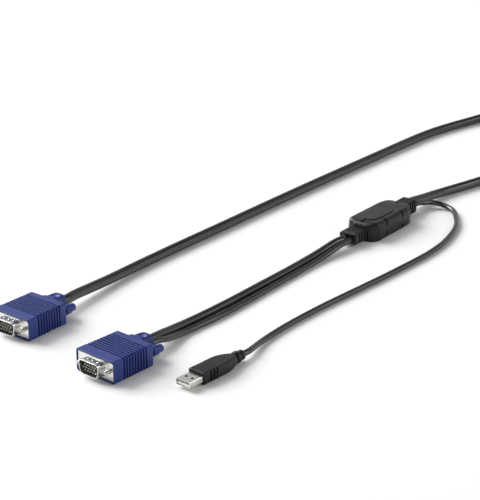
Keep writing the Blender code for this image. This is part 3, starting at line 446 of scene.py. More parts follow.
def loft(stations: Sequence[Station], ring: bool = False) -> bmesh.types.BMesh:
    """A solid drawn along X through sections.

    Args:
        stations: Places along X, each with its section's points (y, z).
        ring: Whether the last section closes on the first, instead of both being capped.

    Returns:
        The solid.
    """
    bm = bmesh.new()
    start, outline = stations[0]
    circle = bmesh.ops.create_circle(bm, cap_ends=False, segments=len(outline), radius=0.01)
    current = list(circle["verts"])
    for vertex, (y, z) in zip(current, outline):
        vertex.co = (start, y, z)
    first = [bm.edges.get(pair) for pair in zip(current, current[1:] + current[:1])]
    last = first
    for place, points in stations[1:]:
        grown = bmesh.ops.extrude_edge_only(bm, edges=last)["geom"]
        fresh = {item for item in grown if isinstance(item, bmesh.types.BMVert)}
        following = []
        for vertex in current:
            others = (edge.other_vert(vertex) for edge in vertex.link_edges)
            following.append(next(other for other in others if other in fresh))
        for vertex, (y, z) in zip(following, points):
            vertex.co = (place, y, z)
        current = following
        last = [bm.edges.get(pair) for pair in zip(current, current[1:] + current[:1])]
    if ring:
        bmesh.ops.bridge_loops(bm, edges=[*first, *last])
    else:
        for rim in (first, last):
            bmesh.ops.contextual_create(bm, geom=rim)
    bmesh.ops.recalc_face_normals(bm, faces=bm.faces[:])
    return bm


def turned(profile: Sequence[tuple[float, float]]) -> bmesh.types.BMesh:
    """A solid spun about X.

    Args:
        profile: Points (x, radius) from one end on the axis to the other.

    Returns:
        The solid.
    """
    bm = bmesh.new()
    verts = [bm.verts.new((x, 0.0, radius)) for x, radius in profile]
    edges = [bm.edges.new(pair) for pair in zip(verts, verts[1:])]
    bmesh.ops.spin(
        bm, geom=[*verts, *edges], cent=(0.0, 0.0, 0.0), axis=(1.0, 0.0, 0.0), angle=2.0 * math.pi,
        steps=TURNED_STEPS, use_merge=True,
    )
    bmesh.ops.remove_doubles(bm, verts=bm.verts[:], dist=1e-6)
    bmesh.ops.recalc_face_normals(bm, faces=bm.faces[:])
    return bm


def screw_bores(middle: float, length: float, segments: int) -> bmesh.types.BMesh:
    """Two cylinders on the axes of a video plug's screws, wider than the screws.

    Args:
        middle: The place of their middle along the plug.
        length: Their length.
        segments: Their divisions.

    Returns:
        Both cylinders.
    """
    bm = bmesh.new()
    for side in (0.5, -0.5):
        spot = Matrix.Translation((middle, side * SCREW_SPACING, PLUG_AXIS))
        bmesh.ops.create_cone(
            bm, cap_ends=True, segments=segments, radius1=BORE_RADIUS, radius2=BORE_RADIUS,
            depth=length, matrix=spot @ Matrix.Rotation(0.5 * math.pi, 4, "Y"),
        )
    return bm


def stored(bm: bmesh.types.BMesh, name: str, crease: float | None = None) -> bpy.types.Mesh:
    """Store a shape as mesh data and free it.

    Args:
        bm: The shape.
        name: The data's name.
        crease: The angle in degrees from which an edge stays sharp, where it is smoothed.

    Returns:
        The mesh data.
    """
    data = bpy.data.meshes.new(name)
    bm.to_mesh(data)
    bm.free()
    if crease is not None:
        data.shade_smooth()
        data.set_sharp_from_angle(angle=math.radians(crease))
    return data


def carved(
    body: bmesh.types.BMesh,
    cuts: Sequence[bmesh.types.BMesh],
    additions: Sequence[bmesh.types.BMesh] = (),
) -> bmesh.types.BMesh:
    """Join solids to a solid, then cut others from it; every solid given is used up.

    Args:
        body: The solid to work on.
        cuts: The solids to cut from it.
        additions: The solids to join to it.

    Returns:
        The worked solid.
    """
    target = link("carving", stored(body, "carving"))
    helpers = []
    for operation, tools in (("UNION", additions), ("DIFFERENCE", cuts)):
        for tool in tools:
            helper = link("carving_tool", stored(tool, "carving_tool"))
            work = target.modifiers.new("carve", "BOOLEAN")
            work.operation = operation
            work.solver = "EXACT"
            work.object = helper
            helpers.append(helper)
    graph = bpy.context.evaluated_depsgraph_get()
    worked = bpy.data.meshes.new_from_object(target.evaluated_get(graph))
    result = bmesh.new()
    result.from_mesh(worked)
    bpy.data.meshes.remove(worked)
    for item in (target, *helpers):
        data = item.data
        bpy.data.objects.remove(item)
        bpy.data.meshes.remove(data)
    return result


@dataclass(frozen=True)
class Moulding:
    """How a new piece joins the model: its name, finish, slot, body and what it stands for."""

    name: str
    finish: Finish
    slot: Slot
    stands_for: str
    place: Placement
    body: str = CABLE_BODY
    crease: float = 38.0

    def add(self, bm: bmesh.types.BMesh) -> None:
        """Put a shape from the piece's own frame on the desk, smooth it and dress it.

        Args:
            bm: The shape; it is used up.
        """
        spot = Vector((self.place.x, self.place.y, 0.0)) - DESK_CENTRE
        turn = Matrix.Rotation(math.radians(self.place.turn), 4, "Z")
        bmesh.ops.transform(bm, matrix=Matrix.Translation(spot) @ turn, verts=bm.verts[:])
        piece = link(self.name, stored(bm, self.name, self.crease))
        even = piece.modifiers.new("even_faces", "WEIGHTED_NORMAL")
        even.keep_sharp = True
        declare(piece, self.finish, self.slot, self.body, self.stands_for)


@dataclass
class FreeCord:
    """A round cord that lies free: its name, size, route and what it stands for."""

    name: str
    diameter: float
    route: list[Vector]
    stands_for: tuple[str, ...]
    stiffness: Stiffness = Stiffness.MEDIUM
    lay: Lay = Lay.LOOSE
    with_pieces: tuple[str, ...] = ()
    spacing: float = 0.55

    def build(self) -> None:
        route = smooth_route(self.route, self.spacing * self.diameter)
        points = [point - DESK_CENTRE for point in route]
        data = bpy.data.curves.new(self.name, "CURVE")
        data.dimensions = "3D"
        data.bevel_depth = 0.5 * self.diameter
        data.bevel_resolution = 6
        data.use_fill_caps = True
        data.resolution_u = 1
        spline = data.splines.new("POLY")
        spline.points.add(len(points) - 1)
        for knot, place in zip(spline.points, points):
            knot.co = (*place, 1.0)
        spline.use_smooth = True
        cord = link(self.name, data)
        declare(cord, JACKET, Slot.CORD, CABLE_BODY, *self.stands_for)


@dataclass
class CoilPath:
    """The spare cord's turns: two side by side on the desk, and the way out over them.

    Angles are degrees turned since the cord reached the coil.
    """

    centre_x: float = 0.6480
    centre_y: float = 0.0600
    cord: float = 0.0077
    outer: float = 0.0420
    floor: float = 0.0052
    over: float = 0.0129
    entry_radius: float = 0.0498
    entry_angle: float = 73.9
    entry_slope: float = -0.0109
    tuck: float = 0.0010
    tuck_from: float = 720.0
    tuck_to: float = 740.0
    groove_at: float = 810.0
    exit_turn: float = 74.0
    exit_inset: float = 0.0015
    climb_from: float = 690.0
    climb_turn: float = 75.0
    total: float = 883.9
    step: float = 15.0

    def radius(self, turned: float) -> float:
        """The path's distance from the coil's centre.

        Args:
            turned: Degrees turned since the cord reached the coil.

        Returns:
            The radius in metres.
        """
        if turned < self.entry_angle:
            t = turned / self.entry_angle
            tangent = self.entry_slope * math.radians(self.entry_angle)
            start = (2.0 * t**3 - 3.0 * t**2 + 1.0) * self.entry_radius
            end = (3.0 * t**2 - 2.0 * t**3) * self.outer
            return start + (t**3 - 2.0 * t**2 + t) * tangent + end
        if turned < 360.0:
            return self.outer
        if turned < self.tuck_from:
            return self.radius(turned - 360.0) - self.cord
        inner = self.outer - self.cord
        if turned < self.tuck_to:
            return inner - self.tuck * (turned - self.tuck_from) / (self.tuck_to - self.tuck_from)
        inner -= self.tuck
        groove_radius = self.outer - 0.5 * self.cord
        if turned < self.groove_at:
            share = (turned - self.tuck_to) / (self.groove_at - self.tuck_to)
            return inner + (groove_radius - inner) * eased(share)
        share = min(1.0, (turned - self.groove_at) / self.exit_turn)
        return groove_radius + (self.outer - self.exit_inset - groove_radius) * eased(share)

    def height(self, turned: float) -> float:
        """The path's height over the desk at an angle turned."""
        share = min(1.0, max(0.0, (turned - self.climb_from) / self.climb_turn))
        return self.floor + (self.over - self.floor) * eased(share)

    def points(self) -> list[Vector]:
        """Layout points along the turns, from where the cord reaches the coil to its way out."""
        found: list[Vector] = []
        count = round(self.total / self.step)
        for index in range(count + 1):
            turned = self.total * index / count
            angle = math.radians(self.entry_angle - turned)
            reach = self.radius(turned)
            x = self.centre_x + reach * math.cos(angle)
            y = self.centre_y + reach * math.sin(angle)
            found.append(Vector((x, y, self.height(turned))))
        return found


@dataclass
class CoilTie:
    """The flat tie wrapped round the coil's two turns."""

    path: CoilPath
    name: str = "coil_band"
    thick: float = 0.0010
    gap: float = 0.0003
    place: float = 150.0
    spread: float = 14.0
    crease: float = 40.0

    def build(self) -> None:
        """Make the tie as a band spun about the coil's centre."""
        cord = self.path.cord
        middle = self.path.outer - 0.5 * cord
        bm = bmesh.new()
        bmesh.ops.create_grid(bm, x_segments=1, y_segments=1, size=0.5)
        size = Matrix.Diagonal((2.0 * cord + 2.0 * self.gap, cord + 2.0 * self.gap, 1.0, 1.0))
        upright = Matrix.Rotation(0.5 * math.pi, 4, "X")
        bmesh.ops.transform(bm, matrix=upright @ size, verts=bm.verts[:])
        bmesh.ops.translate(bm, verts=bm.verts[:], vec=(middle, 0.0, self.path.floor))
        bmesh.ops.bevel(
            bm, geom=bm.verts[:], offset=0.5 * cord, segments=8, profile=0.5, affect="VERTICES",
            material=-1,
        )
        rim = [edge for edge in bm.edges if edge.is_boundary]
        bmesh.ops.delete(bm, geom=bm.faces[:], context="FACES_ONLY")
        start = Matrix.Rotation(math.radians(self.place - 0.5 * self.spread), 3, "Z")
        bmesh.ops.rotate(bm, verts=bm.verts[:], cent=(0.0, 0.0, 0.0), matrix=start)
        bmesh.ops.spin(
            bm, geom=[*bm.verts[:], *rim], cent=(0.0, 0.0, 0.0), axis=(0.0, 0.0, 1.0),
            angle=math.radians(self.spread), steps=6,
        )
        bmesh.ops.remove_doubles(bm, verts=bm.verts[:], dist=1e-6)
        bmesh.ops.recalc_face_normals(bm, faces=bm.faces[:])
        bmesh.ops.solidify(bm, geom=bm.faces[:], thickness=-self.thick)
        bmesh.ops.recalc_face_normals(bm, faces=bm.faces[:])
        centre = Vector((self.path.centre_x, self.path.centre_y, 0.0)) - DESK_CENTRE
        bmesh.ops.translate(bm, verts=bm.verts[:], vec=centre)
        tie = link(self.name, stored(bm, self.name, self.crease))
        declare(tie, TIE, Slot.TIE, CABLE_BODY, "coil_tie")


class Cords:
    """Every cord of the cable, laid on the desk as the part's solids are."""

    BOOT_END = 0.0503
    JOINT_LEFT = -0.0003
    JOINT_LEFT_AXIS = 0.0065
    JOINT_RIGHT = 0.0928
    JOINT_RIGHT_AXIS = 0.0075
    USB_END = 0.0458
    USB_AXIS = 0.0044
    STRAIGHT = 0.0060
    CONSOLE_OFFSET = 0.0022
    USB_OFFSET = -0.0042
    THIN_CORD = 0.0043

    CONSOLE_OUT = (
        (0.0732, 0.0966, 0.0076), (0.0910, 0.0994, 0.0064), (0.1151, 0.1028, 0.0050),
        (0.1512, 0.1074, 0.0041), (0.1880, 0.1106, 0.00385), (0.2240, 0.1128, 0.00385),
        (0.2620, 0.1152, 0.00385), (0.3030, 0.1180, 0.00385), (0.3450, 0.1206, 0.00385),
        (0.3880, 0.1230, 0.00385), (0.4330, 0.1252, 0.00385), (0.4790, 0.1274, 0.00385),
        (0.5280, 0.1296, 0.00385), (0.5530, 0.1299, 0.00385), (0.5750, 0.1286, 0.00385),
        (0.5955, 0.1259, 0.00385), (0.6160, 0.1226, 0.00385), (0.6330, 0.1194, 0.0042),
        (0.6490, 0.1150, 0.0047),
    )
    OVER_THE_TURNS = (
        (0.6360, 0.0193, 0.0129), (0.6280, 0.0192, 0.0122), (0.6205, 0.0190, 0.0104),
    )
    CONSOLE_RETURN = (
        (0.6050, 0.0172, 0.0078), (0.5880, 0.0164, 0.0054), (0.5700, 0.0158, 0.0042),
        (0.5500, 0.0154, 0.00385), (0.5250, 0.0156, 0.00385), (0.5020, 0.0172, 0.00385),
        (0.4840, 0.0194, 0.00385), (0.4670, 0.0222, 0.00385), (0.4500, 0.0252, 0.00390),
        (0.4340, 0.0274, 0.0043), (0.4195, 0.0283, 0.0051), (0.4070, 0.0284, 0.0060),
    )
    VIDEO = (
        (0.0680, 0.0042, 0.0070), (0.0780, 0.0056, 0.0057), (0.0940, 0.0075, 0.0042),
        (0.1110, 0.0088, 0.0034), (0.1280, 0.0097, 0.0032), (0.1450, 0.0106, 0.0032),
        (0.1630, 0.0120, 0.0032), (0.1820, 0.0136, 0.0032), (0.2000, 0.0150, 0.0032),
        (0.2190, 0.0166, 0.0032), (0.2400, 0.0187, 0.0033), (0.2580, 0.0203, 0.0038),
        (0.2700, 0.0209, 0.0049), (0.2800, 0.0211, 0.0060),
    )
    LINK = (
        (0.0660, -0.0030, 0.0060), (0.0750, -0.0014, 0.0042), (0.0880, 0.0006, 0.0026),
        (0.1030, 0.0010, 0.0022), (0.1190, 0.0010, 0.0022), (0.1350, 0.0018, 0.0022),
        (0.1540, 0.0036, 0.0022), (0.1730, 0.0057, 0.0022), (0.1920, 0.0077, 0.0022),
        (0.2120, 0.0097, 0.0022), (0.2330, 0.0117, 0.0023), (0.2520, 0.0133, 0.0029),
        (0.2650, 0.0141, 0.0042), (0.2770, 0.0144, 0.0058),
    )
    USB = (
        (0.3990, 0.0208, 0.0062), (0.4055, 0.0182, 0.0054), (0.4100, 0.0128, 0.0040),
        (0.4108, 0.0050, 0.0028), (0.4075, -0.0025, 0.0023), (0.4004, -0.0095, 0.0022),
        (0.3852, -0.0210, 0.0022), (0.3686, -0.0291, 0.0022), (0.3514, -0.0350, 0.0022),
        (0.3363, -0.0387, 0.0022), (0.3127, -0.0416, 0.0022), (0.2820, -0.0427, 0.0022),
        (0.2530, -0.0432, 0.0022), (0.2177, -0.0430, 0.0022), (0.1833, -0.0430, 0.0022),
        (0.1467, -0.0446, 0.0022), (0.1250, -0.0470, 0.0023), (0.1120, -0.0493, 0.0027),
        (0.1010, -0.0522, 0.0034),
    )

    def leaving(self, piece: Placement, end: float, offset: float, height: float) -> list[Vector]:
        """Two layout points of a cord from a piece's end outwards; a left end is negative."""
        away = math.copysign(self.STRAIGHT, end)
        return [piece.point(place, offset, height) for place in (end, end + away)]

    def console_cord(self) -> FreeCord:
        """The thick cord from the console plug, through its coil, to the joint."""
        coil = CoilPath()
        end = self.leaving(JOINT, self.JOINT_RIGHT, self.CONSOLE_OFFSET, self.JOINT_RIGHT_AXIS)
        route = [
            *self.leaving(CONSOLE_PLUG, self.BOOT_END, 0.0, PLUG_AXIS),
            *map(Vector, self.CONSOLE_OUT),
            *coil.points(),
            *map(Vector, self.OVER_THE_TURNS),
            *map(Vector, self.CONSOLE_RETURN),
            *reversed(end),
        ]
        return FreeCord(
            "console_lead",
            coil.cord,
            route,
            ("console_cord_out", "console_cord_coil", "console_cord_return"),
            lay=Lay.COILED,
            with_pieces=(CoilTie.name,),
        )

    def twin_cords(self) -> list[FreeCord]:
        """The two cords that run side by side from the joint to the video plug."""
        found = []
        for name, diameter, offset, places, node in (
            ("video_lead", 0.0064, 0.0023, self.VIDEO, "video_cord"),
            ("link_lead", self.THIN_CORD, -0.0034, self.LINK, "link_cord"),
        ):
            start = self.leaving(VIDEO_PLUG, self.BOOT_END, offset, PLUG_AXIS)
            end = self.leaving(JOINT, self.JOINT_LEFT, offset, self.JOINT_LEFT_AXIS)
            route = [*start, *map(Vector, places), *reversed(end)]
            found.append(FreeCord(name, diameter, route, (node,), Stiffness.LIMP))
        return found

    def usb_lead(self) -> FreeCord:
        """The thin cord from the joint to the USB plug."""
        start = self.leaving(JOINT, self.JOINT_RIGHT, self.USB_OFFSET, self.JOINT_RIGHT_AXIS)
        end = self.leaving(USB_PLUG, self.USB_END, 0.0, self.USB_AXIS)
        route = [*start, *map(Vector, self.USB), *reversed(end)]
        return FreeCord("usb_lead", self.THIN_CORD, route, ("usb_cord",), Stiffness.LIMP)

    def build(self) -> None:
        """Make the tie and every cord."""
        CoilTie(CoilPath()).build()
        for cord in (self.console_cord(), *self.twin_cords(), self.usb_lead()):
            cord.build()


@dataclass
class RibbedHood:
    """The blue hood of a video plug, with its ribs, cord boot, dimple and channels."""

    length: float = HOOD_LENGTH
    front_width: float = 0.0356
    rear_width: float = 0.0343
    height: float = 0.0163
    corner: float = 0.0016
    front_round: float = 0.0005
    rear_round: float = 0.0010
    grooves: Grooves = Grooves(
        9, 0.0092, 0.00264, 0.0014, 0.0015,
        ((-0.00016, 0.0), (-0.00004, 0.00004), (0.00005, 0.00016), (0.00020, 1.0)),
    )
    boot_length: float = 0.0120
    boot_half_width: float = 0.0066
    boot_flare: float = 0.0026
    flare_shares: tuple[float, ...] = (0.05, 0.2, 0.4, 0.7, 1.0)
    boot_top: float = 0.0160
    boot_end_top: float = 0.0152
    boot_corner: float = 0.0044
    boot_end_round: float = 0.0009
    recess_half_width: float = 0.0171
    recess_half_height: float = 0.0069
    recess_corner: float = 0.0015
    recess_depth: float = 0.0020
    channel_length: float = 0.0390
    dimple_at: float = 0.0062
    dimple_radii: tuple[float, float, float] = (0.0030, 0.0043, 0.0019)
    mark_at: float = 0.0052
    mark_rise: float = 0.0006
    mark_inset: float = 0.0001
    mark_radii: tuple[float, float, float] = (0.0006, 0.0005, 0.0008)

    def across(self, place: float, shrink: float = 0.0) -> Station:
        """A station of the hood, drawn in by a distance."""
        half = 0.5 * (self.front_width + (self.rear_width - self.front_width) * place / self.length)
        return place, Section(half - shrink, shrink, self.height - shrink, self.corner).points()

    def boot_across(self, past: float, half_width: float, top: float) -> Station:
        """A station of the boot at a distance past the hood."""
        section = Section(half_width, self.height - top, top, self.boot_corner)
        return self.length + past, section.points()

    def stations(self) -> list[Station]:
        """Stations from the front rim, over the ribs, to the end of the boot."""
        found = []
        for shrink, _ in quarter_turn(self.front_round):
            found.append(self.across(self.front_round - shrink, shrink))
        found += [self.across(*step) for step in self.grooves.profile()]
        for away, shrink in quarter_turn(self.rear_round):
            found.append(self.across(self.length - away, shrink))
        for share in self.flare_shares:
            half = self.boot_half_width + self.boot_flare * (1.0 - share) ** 2
            found.append(self.boot_across(share * self.boot_flare, half, self.boot_top))
        for away, shrink in quarter_turn(self.boot_end_round):
            half = self.boot_half_width - shrink
            past = self.boot_length - away
            found.append(self.boot_across(past, half, self.boot_end_top - shrink))
        return found

    def cuts(self) -> list[bmesh.types.BMesh]:
        """The flange's recess, both screw channels, the boot's dimple and the small side marks."""
        recess = centred(
            self.recess_half_width, PLUG_AXIS, self.recess_half_height, self.recess_corner
        ).points()
        hollows = bmesh.new()
        half = 0.5 * self.front_width - self.mark_inset
        rise = PLUG_AXIS + self.mark_rise
        for centre, radii, around, along in (
            ((self.length + self.dimple_at, 0.0, self.boot_top), self.dimple_radii, 40, 20),
            ((self.mark_at, half, rise), self.mark_radii, 16, 10),
            ((self.mark_at, -half, rise), self.mark_radii, 16, 10),
        ):
            spot = Matrix.Translation(centre) @ Matrix.Diagonal((*radii, 1.0))
            bmesh.ops.create_uvsphere(
                hollows, u_segments=around, v_segments=along, radius=1.0, matrix=spot
            )
        channels = screw_bores(0.5 * self.length, self.channel_length, 28)
        return [loft([(-OVERCUT, recess), (self.recess_depth, recess)]), channels, hollows]

    def build(self) -> bmesh.types.BMesh:
        """The whole hood in the plug's own frame."""
        return carved(loft(self.stations()), self.cuts())


@dataclass
class FrontShell:
    """The nickel flange and D-shaped skirt of a video plug, with holes and dimples."""

    axis: float = PLUG_AXIS
    front: float = 0.0008
    thick: float = 0.0009
    plate_half_width: float = 0.0168
    plate_half_height: float = 0.0066
    plate_corner: float = 0.0012
    hole_length: float = 0.0060
    reach: float = 0.0066
    wall: float = 0.00055
    foot: float = 0.0007
    lip: float = 0.0002
    half_width: float = 0.00920
    half_height: float = 0.00460
    corner: float = 0.0024
    slant: float = math.radians(10.0)
    dimple_pitch: float = 0.0044
    dimple_radius: float = 0.00125
    dimple_rise: float = 0.00105

    def mouth(self, grow: float) -> list[tuple[float, float]]:
        """The D-shaped outline, wide side up, grown outwards.

        Args:
            grow: Distance outwards from the mouth.

        Returns:
            Points (y, z).
        """
        lean = math.tan(self.slant)
        half_height = self.half_height + grow
        side = self.half_width + grow / math.cos(self.slant)
        corner = self.corner + grow
        starts = (-self.slant, 0.5 * math.pi, math.pi + self.slant, 1.5 * math.pi)
        ends = (0.5 * math.pi, math.pi + self.slant, 1.5 * math.pi, 2.0 * math.pi - self.slant)
        found = []
        for quarter in range(4):
            side_y = 1.0 if quarter in (0, 3) else -1.0
            level = half_height - corner if quarter in (0, 1) else corner - half_height
            reach = side - (self.half_height - level) * lean - corner / math.cos(self.slant)
            for step in range(CORNER_STEPS + 1):
                share = (ends[quarter] - starts[quarter]) * step / CORNER_STEPS
                angle = starts[quarter] + share
                y = side_y * reach + corner * math.cos(angle)
                found.append((y, self.axis + level + corner * math.sin(angle)))
        return found

    def dimples(self) -> bmesh.types.BMesh:
        """Balls that press the dimples into the skirt's wide faces."""
        bm = bmesh.new()
        x = self.front - 0.5 * self.reach
        rise = self.half_height + self.wall + self.dimple_rise
        for level in (rise, -rise):
            for number in (-1.0, 0.0, 1.0):
                spot = Matrix.Translation((x, number * self.dimple_pitch, self.axis + level))
                bmesh.ops.create_uvsphere(
                    bm, u_segments=36, v_segments=22, radius=self.dimple_radius, matrix=spot
                )
        return bm

    def build(self) -> bmesh.types.BMesh:
        """The shell in the plug's own frame."""
        back = self.front + self.thick
        end = self.front - self.reach
        plate = centred(
            self.plate_half_width, self.axis, self.plate_half_height, self.plate_corner
        ).points()
        stations = [(back, self.mouth(0.0)), (back, plate), (self.front, plate)]
        for flare, away in quarter_turn(self.foot, 4):
            stations.append((self.front - away, self.mouth(self.wall + flare)))
        for away, inset in ((1.0, 0.0), (0.3, 0.3), (0.0, 1.0)):
            stations.append((end + away * self.lip, self.mouth(self.wall - inset * self.lip)))
        stations.append((end, self.mouth(0.0)))
        holes = screw_bores(self.front, self.hole_length, 36)
        return carved(loft(stations, True), [holes, self.dimples()])


@dataclass
class Jackscrew:
    """A turned screw with a threaded tip, and the moulded thumb knob on its other end."""

    side: float
    drawn_back: float
    slot_turn: float
    radius: float = 0.00142
    tip: float = -0.0034
    tip_share: float = 0.62
    tip_ease: float = 0.0003
    thread_pitch: float = 0.00064
    thread_depth: float = 0.00022
    thread_turns: int = 6
    in_knob: float = 0.0047
    knob_gap: float = 0.0004
    knob_radius: float = 0.0036
    knob_end_radius: float = 0.0029
    knob_length: float = 0.0098
    knob_step: float = 0.0056
    chamfer: float = 0.0006
    bore_play: float = 0.0003
    bore_depth: float = 0.0050
    slot: tuple[float, float, float] = (0.0030, 0.0144, 0.0010)

    def placed(self, bm: bmesh.types.BMesh) -> bmesh.types.BMesh:
        """The shape moved from the X axis to the screw's own axis."""
        bmesh.ops.translate(bm, verts=bm.verts[:], vec=(0.0, self.side, PLUG_AXIS))
        return bm

    def knob_front(self) -> float:
        """Where the knob starts, behind the hood."""
        return HOOD_LENGTH + self.knob_gap + self.drawn_back

    def screw(self) -> bmesh.types.BMesh:
        """The screw in the plug's own frame, from its tip to its end inside the knob."""
        end = self.knob_front() + self.in_knob
        root = self.radius - self.thread_depth
        profile = [(self.tip, 0.0), (self.tip, self.tip_share * self.radius)]
        place = self.tip + self.tip_ease
        for _ in range(self.thread_turns):
            profile.append((place, root))
            profile.append((place + 0.42 * self.thread_pitch, self.radius))
            profile.append((place + 0.58 * self.thread_pitch, self.radius))
            place += self.thread_pitch
        profile += [(place, root), (place + self.tip_ease, self.radius)]
        profile += [(end, self.radius), (end, 0.0)]
        return self.placed(turned(profile))

    def knob(self) -> bmesh.types.BMesh:
        """The knob in the plug's own frame, with its bore and driver slot."""
        front = self.knob_front()
        back = front + self.knob_length
        bore = self.radius + self.bore_play
        shoulder = front + self.knob_step
        profile = [
            (front + self.bore_depth, 0.0),
            (front + self.bore_depth, bore),
            (front, bore),
            (front, self.knob_radius - self.chamfer),
            (front + 0.3 * self.chamfer, self.knob_radius - 0.25 * self.chamfer),
            (front + self.chamfer, self.knob_radius),
            (shoulder - 0.0008, self.knob_radius),
            (shoulder - 0.0003, self.knob_radius - 0.00012),
            (shoulder, self.knob_radius - 0.0004),
            (shoulder + 0.0003, self.knob_end_radius),
            (back - self.chamfer, self.knob_end_radius),
            (back - 0.3 * self.chamfer, self.knob_end_radius - 0.25 * self.chamfer),
            (back, self.knob_end_radius - self.chamfer),
            (back, 0.0),
        ]
        turn = Matrix.Rotation(math.radians(self.slot_turn), 4, "X")
        block = Matrix.Translation((back, 0.0, 0.0)) @ turn @ Matrix.Diagonal((*self.slot, 1.0))
        slot = bmesh.new()
        bmesh.ops.create_cube(slot, size=1.0, matrix=block)
        return self.placed(carved(turned(profile), [slot]))


@dataclass
class VideoPlug:
    """A 15-pin plug: new hood, shell, screws and knobs, and its dressed insulator and pins."""

    prefix: str
    place: Placement
    right_drawn_back: float = 0.0017
    left_slot_turn: float = 20.0
    right_slot_turn: float = 75.0
    pins: int = 15
    turned_crease: float = 30.0

    def build(self) -> None:
        """Make and dress each of the plug's pieces."""
        name, place = self.prefix, self.place
        hood = Moulding(f"{name}_ribbed_hood", BLUE, Slot.HOOD, f"{name}_hood", place)
        hood.add(RibbedHood().build())
        shell = Moulding(f"{name}_drawn_shell", NICKEL, Slot.PLATE, f"{name}_front_shell", place)
        shell.add(FrontShell().build())
        left = Jackscrew(0.5 * SCREW_SPACING, 0.0, self.left_slot_turn)
        right = Jackscrew(-0.5 * SCREW_SPACING, self.right_drawn_back, self.right_slot_turn)
        for side, jackscrew in (("left", left), ("right", right)):
            for piece, finish, slot, node, shape in (
                ("threaded", STEEL, Slot.SCREW, "screw", jackscrew.screw()),
                ("thumb", BLUE, Slot.HOOD, "knob", jackscrew.knob()),
            ):
                made, body = f"{name}_{piece}_{side}", f"{name}_{side}_jackscrew"
                node = f"{name}_{node}_{side}"
                moulding = Moulding(made, finish, slot, node, place, body, self.turned_crease)
                moulding.add(shape)
        INSULATOR.dress(f"{name}_insulator")
        PINS.dress(*(f"{name}_pin_{number:02d}" for number in range(1, self.pins + 1)))


@dataclass
class UsbPlug:
    """The USB plug: a new grip with ribs and a beaded neck, and its dressed shell and tongue."""

    width: float = 0.0145
    height: float = 0.0088
    corner: float = 0.0013
    foot: float = 0.0020
    front_round: float = 0.0007
    straight: float = 0.0215
    neck_at: float = 0.0364
    neck_width: float = 0.0080
    neck_height: float = 0.0074
    taper_steps: int = 16
    taper_power: float = 1.9
    grooves: Grooves = Grooves(
        3, 0.0058, 0.0030, 0.0015, 0.0009, ((-0.00012, 0.0), (0.00004, 0.00010), (0.00018, 1.0))
    )
    beads: tuple[tuple[float, float, float], ...] = (
        (0.0391, 0.0021, 0.0045), (0.0436, 0.0018, 0.0037),
    )
    bead_steps: int = 8
    bead_half_height: float = 0.0042
    gap_radius: float = 0.0025
    socket_half_width: float = 0.0063
    socket_half_height: float = 0.00255
    socket_corner: float = 0.0009
    socket_depth: float = 0.0029
    contacts: int = 4
    crease: float = 42.0

    def across(
        self, place: float, width: float, height: float, corner: float, foot: float
    ) -> Station:
        """A station of the grip about its own middle height."""
        middle = 0.5 * self.height
        section = Section(0.5 * width, middle - 0.5 * height, middle + 0.5 * height, corner, foot)
        return place, section.points()

    def bead(self, centre: float, half_length: float, radius: float) -> list[Station]:
        """Stations of one bead of the neck, between two gaps.

        Args:
            centre: The place of its middle.
            half_length: Half its length.
            radius: Its radius in the middle.

        Returns:
            Its stations.
        """
        found = []
        for step in range(self.bead_steps + 1):
            turn = math.pi * (step / self.bead_steps - 0.5)
            reach = self.gap_radius
            if 0 < step < self.bead_steps:
                reach += (radius - self.gap_radius) * math.sqrt(math.cos(turn))
            high = min(reach, self.bead_half_height)
            place = centre + half_length * math.sin(turn)
            found.append(self.across(place, 2.0 * reach, 2.0 * high, 0.98 * high, 0.98 * high))
        return found

    def stations(self) -> list[Station]:
        """Stations from the grip's front, over its ribs and taper, to the last bead."""
        found = []
        for shrink, place in quarter_turn(self.front_round):
            width, height = self.width - 2.0 * shrink, self.height - 2.0 * shrink
            found.append(self.across(place, width, height, self.corner, self.foot))
        for place, depth in self.grooves.profile():
            width = self.width - 2.0 * depth
            found.append(self.across(place, width, self.height, self.corner, self.foot))
        full = 0.48 * self.neck_height
        for step in range(self.taper_steps + 1):
            share = step / self.taper_steps
            bend = share**self.taper_power
            width = self.width + (self.neck_width - self.width) * bend
            height = self.height + (self.neck_height - self.height) * bend
            corner = self.corner + (full - self.corner) * bend
            foot = self.foot + (full - self.foot) * bend
            place = self.straight + (self.neck_at - self.straight) * share
            found.append(self.across(place, width, height, corner, foot))
        for bead in self.beads:
            found += self.bead(*bead)
        return found

    def build(self) -> None:
        """Make the grip and dress the rest."""
        hole = centred(
            self.socket_half_width, 0.5 * self.height, self.socket_half_height, self.socket_corner
        ).points()
        socket = loft([(-OVERCUT, hole), (self.socket_depth, hole)])
        name, crease = "usb_beaded_grip", self.crease
        grip = Moulding(name, BLACK, Slot.MOULDING, "usb_grip", USB_PLUG, crease=crease)
        grip.add(carved(loft(self.stations()), [socket]))
        NICKEL.dress("usb_shell")
        TONGUE.dress("usb_tongue")
        PINS.dress(*(f"usb_contact_{number}" for number in range(1, self.contacts + 1)))


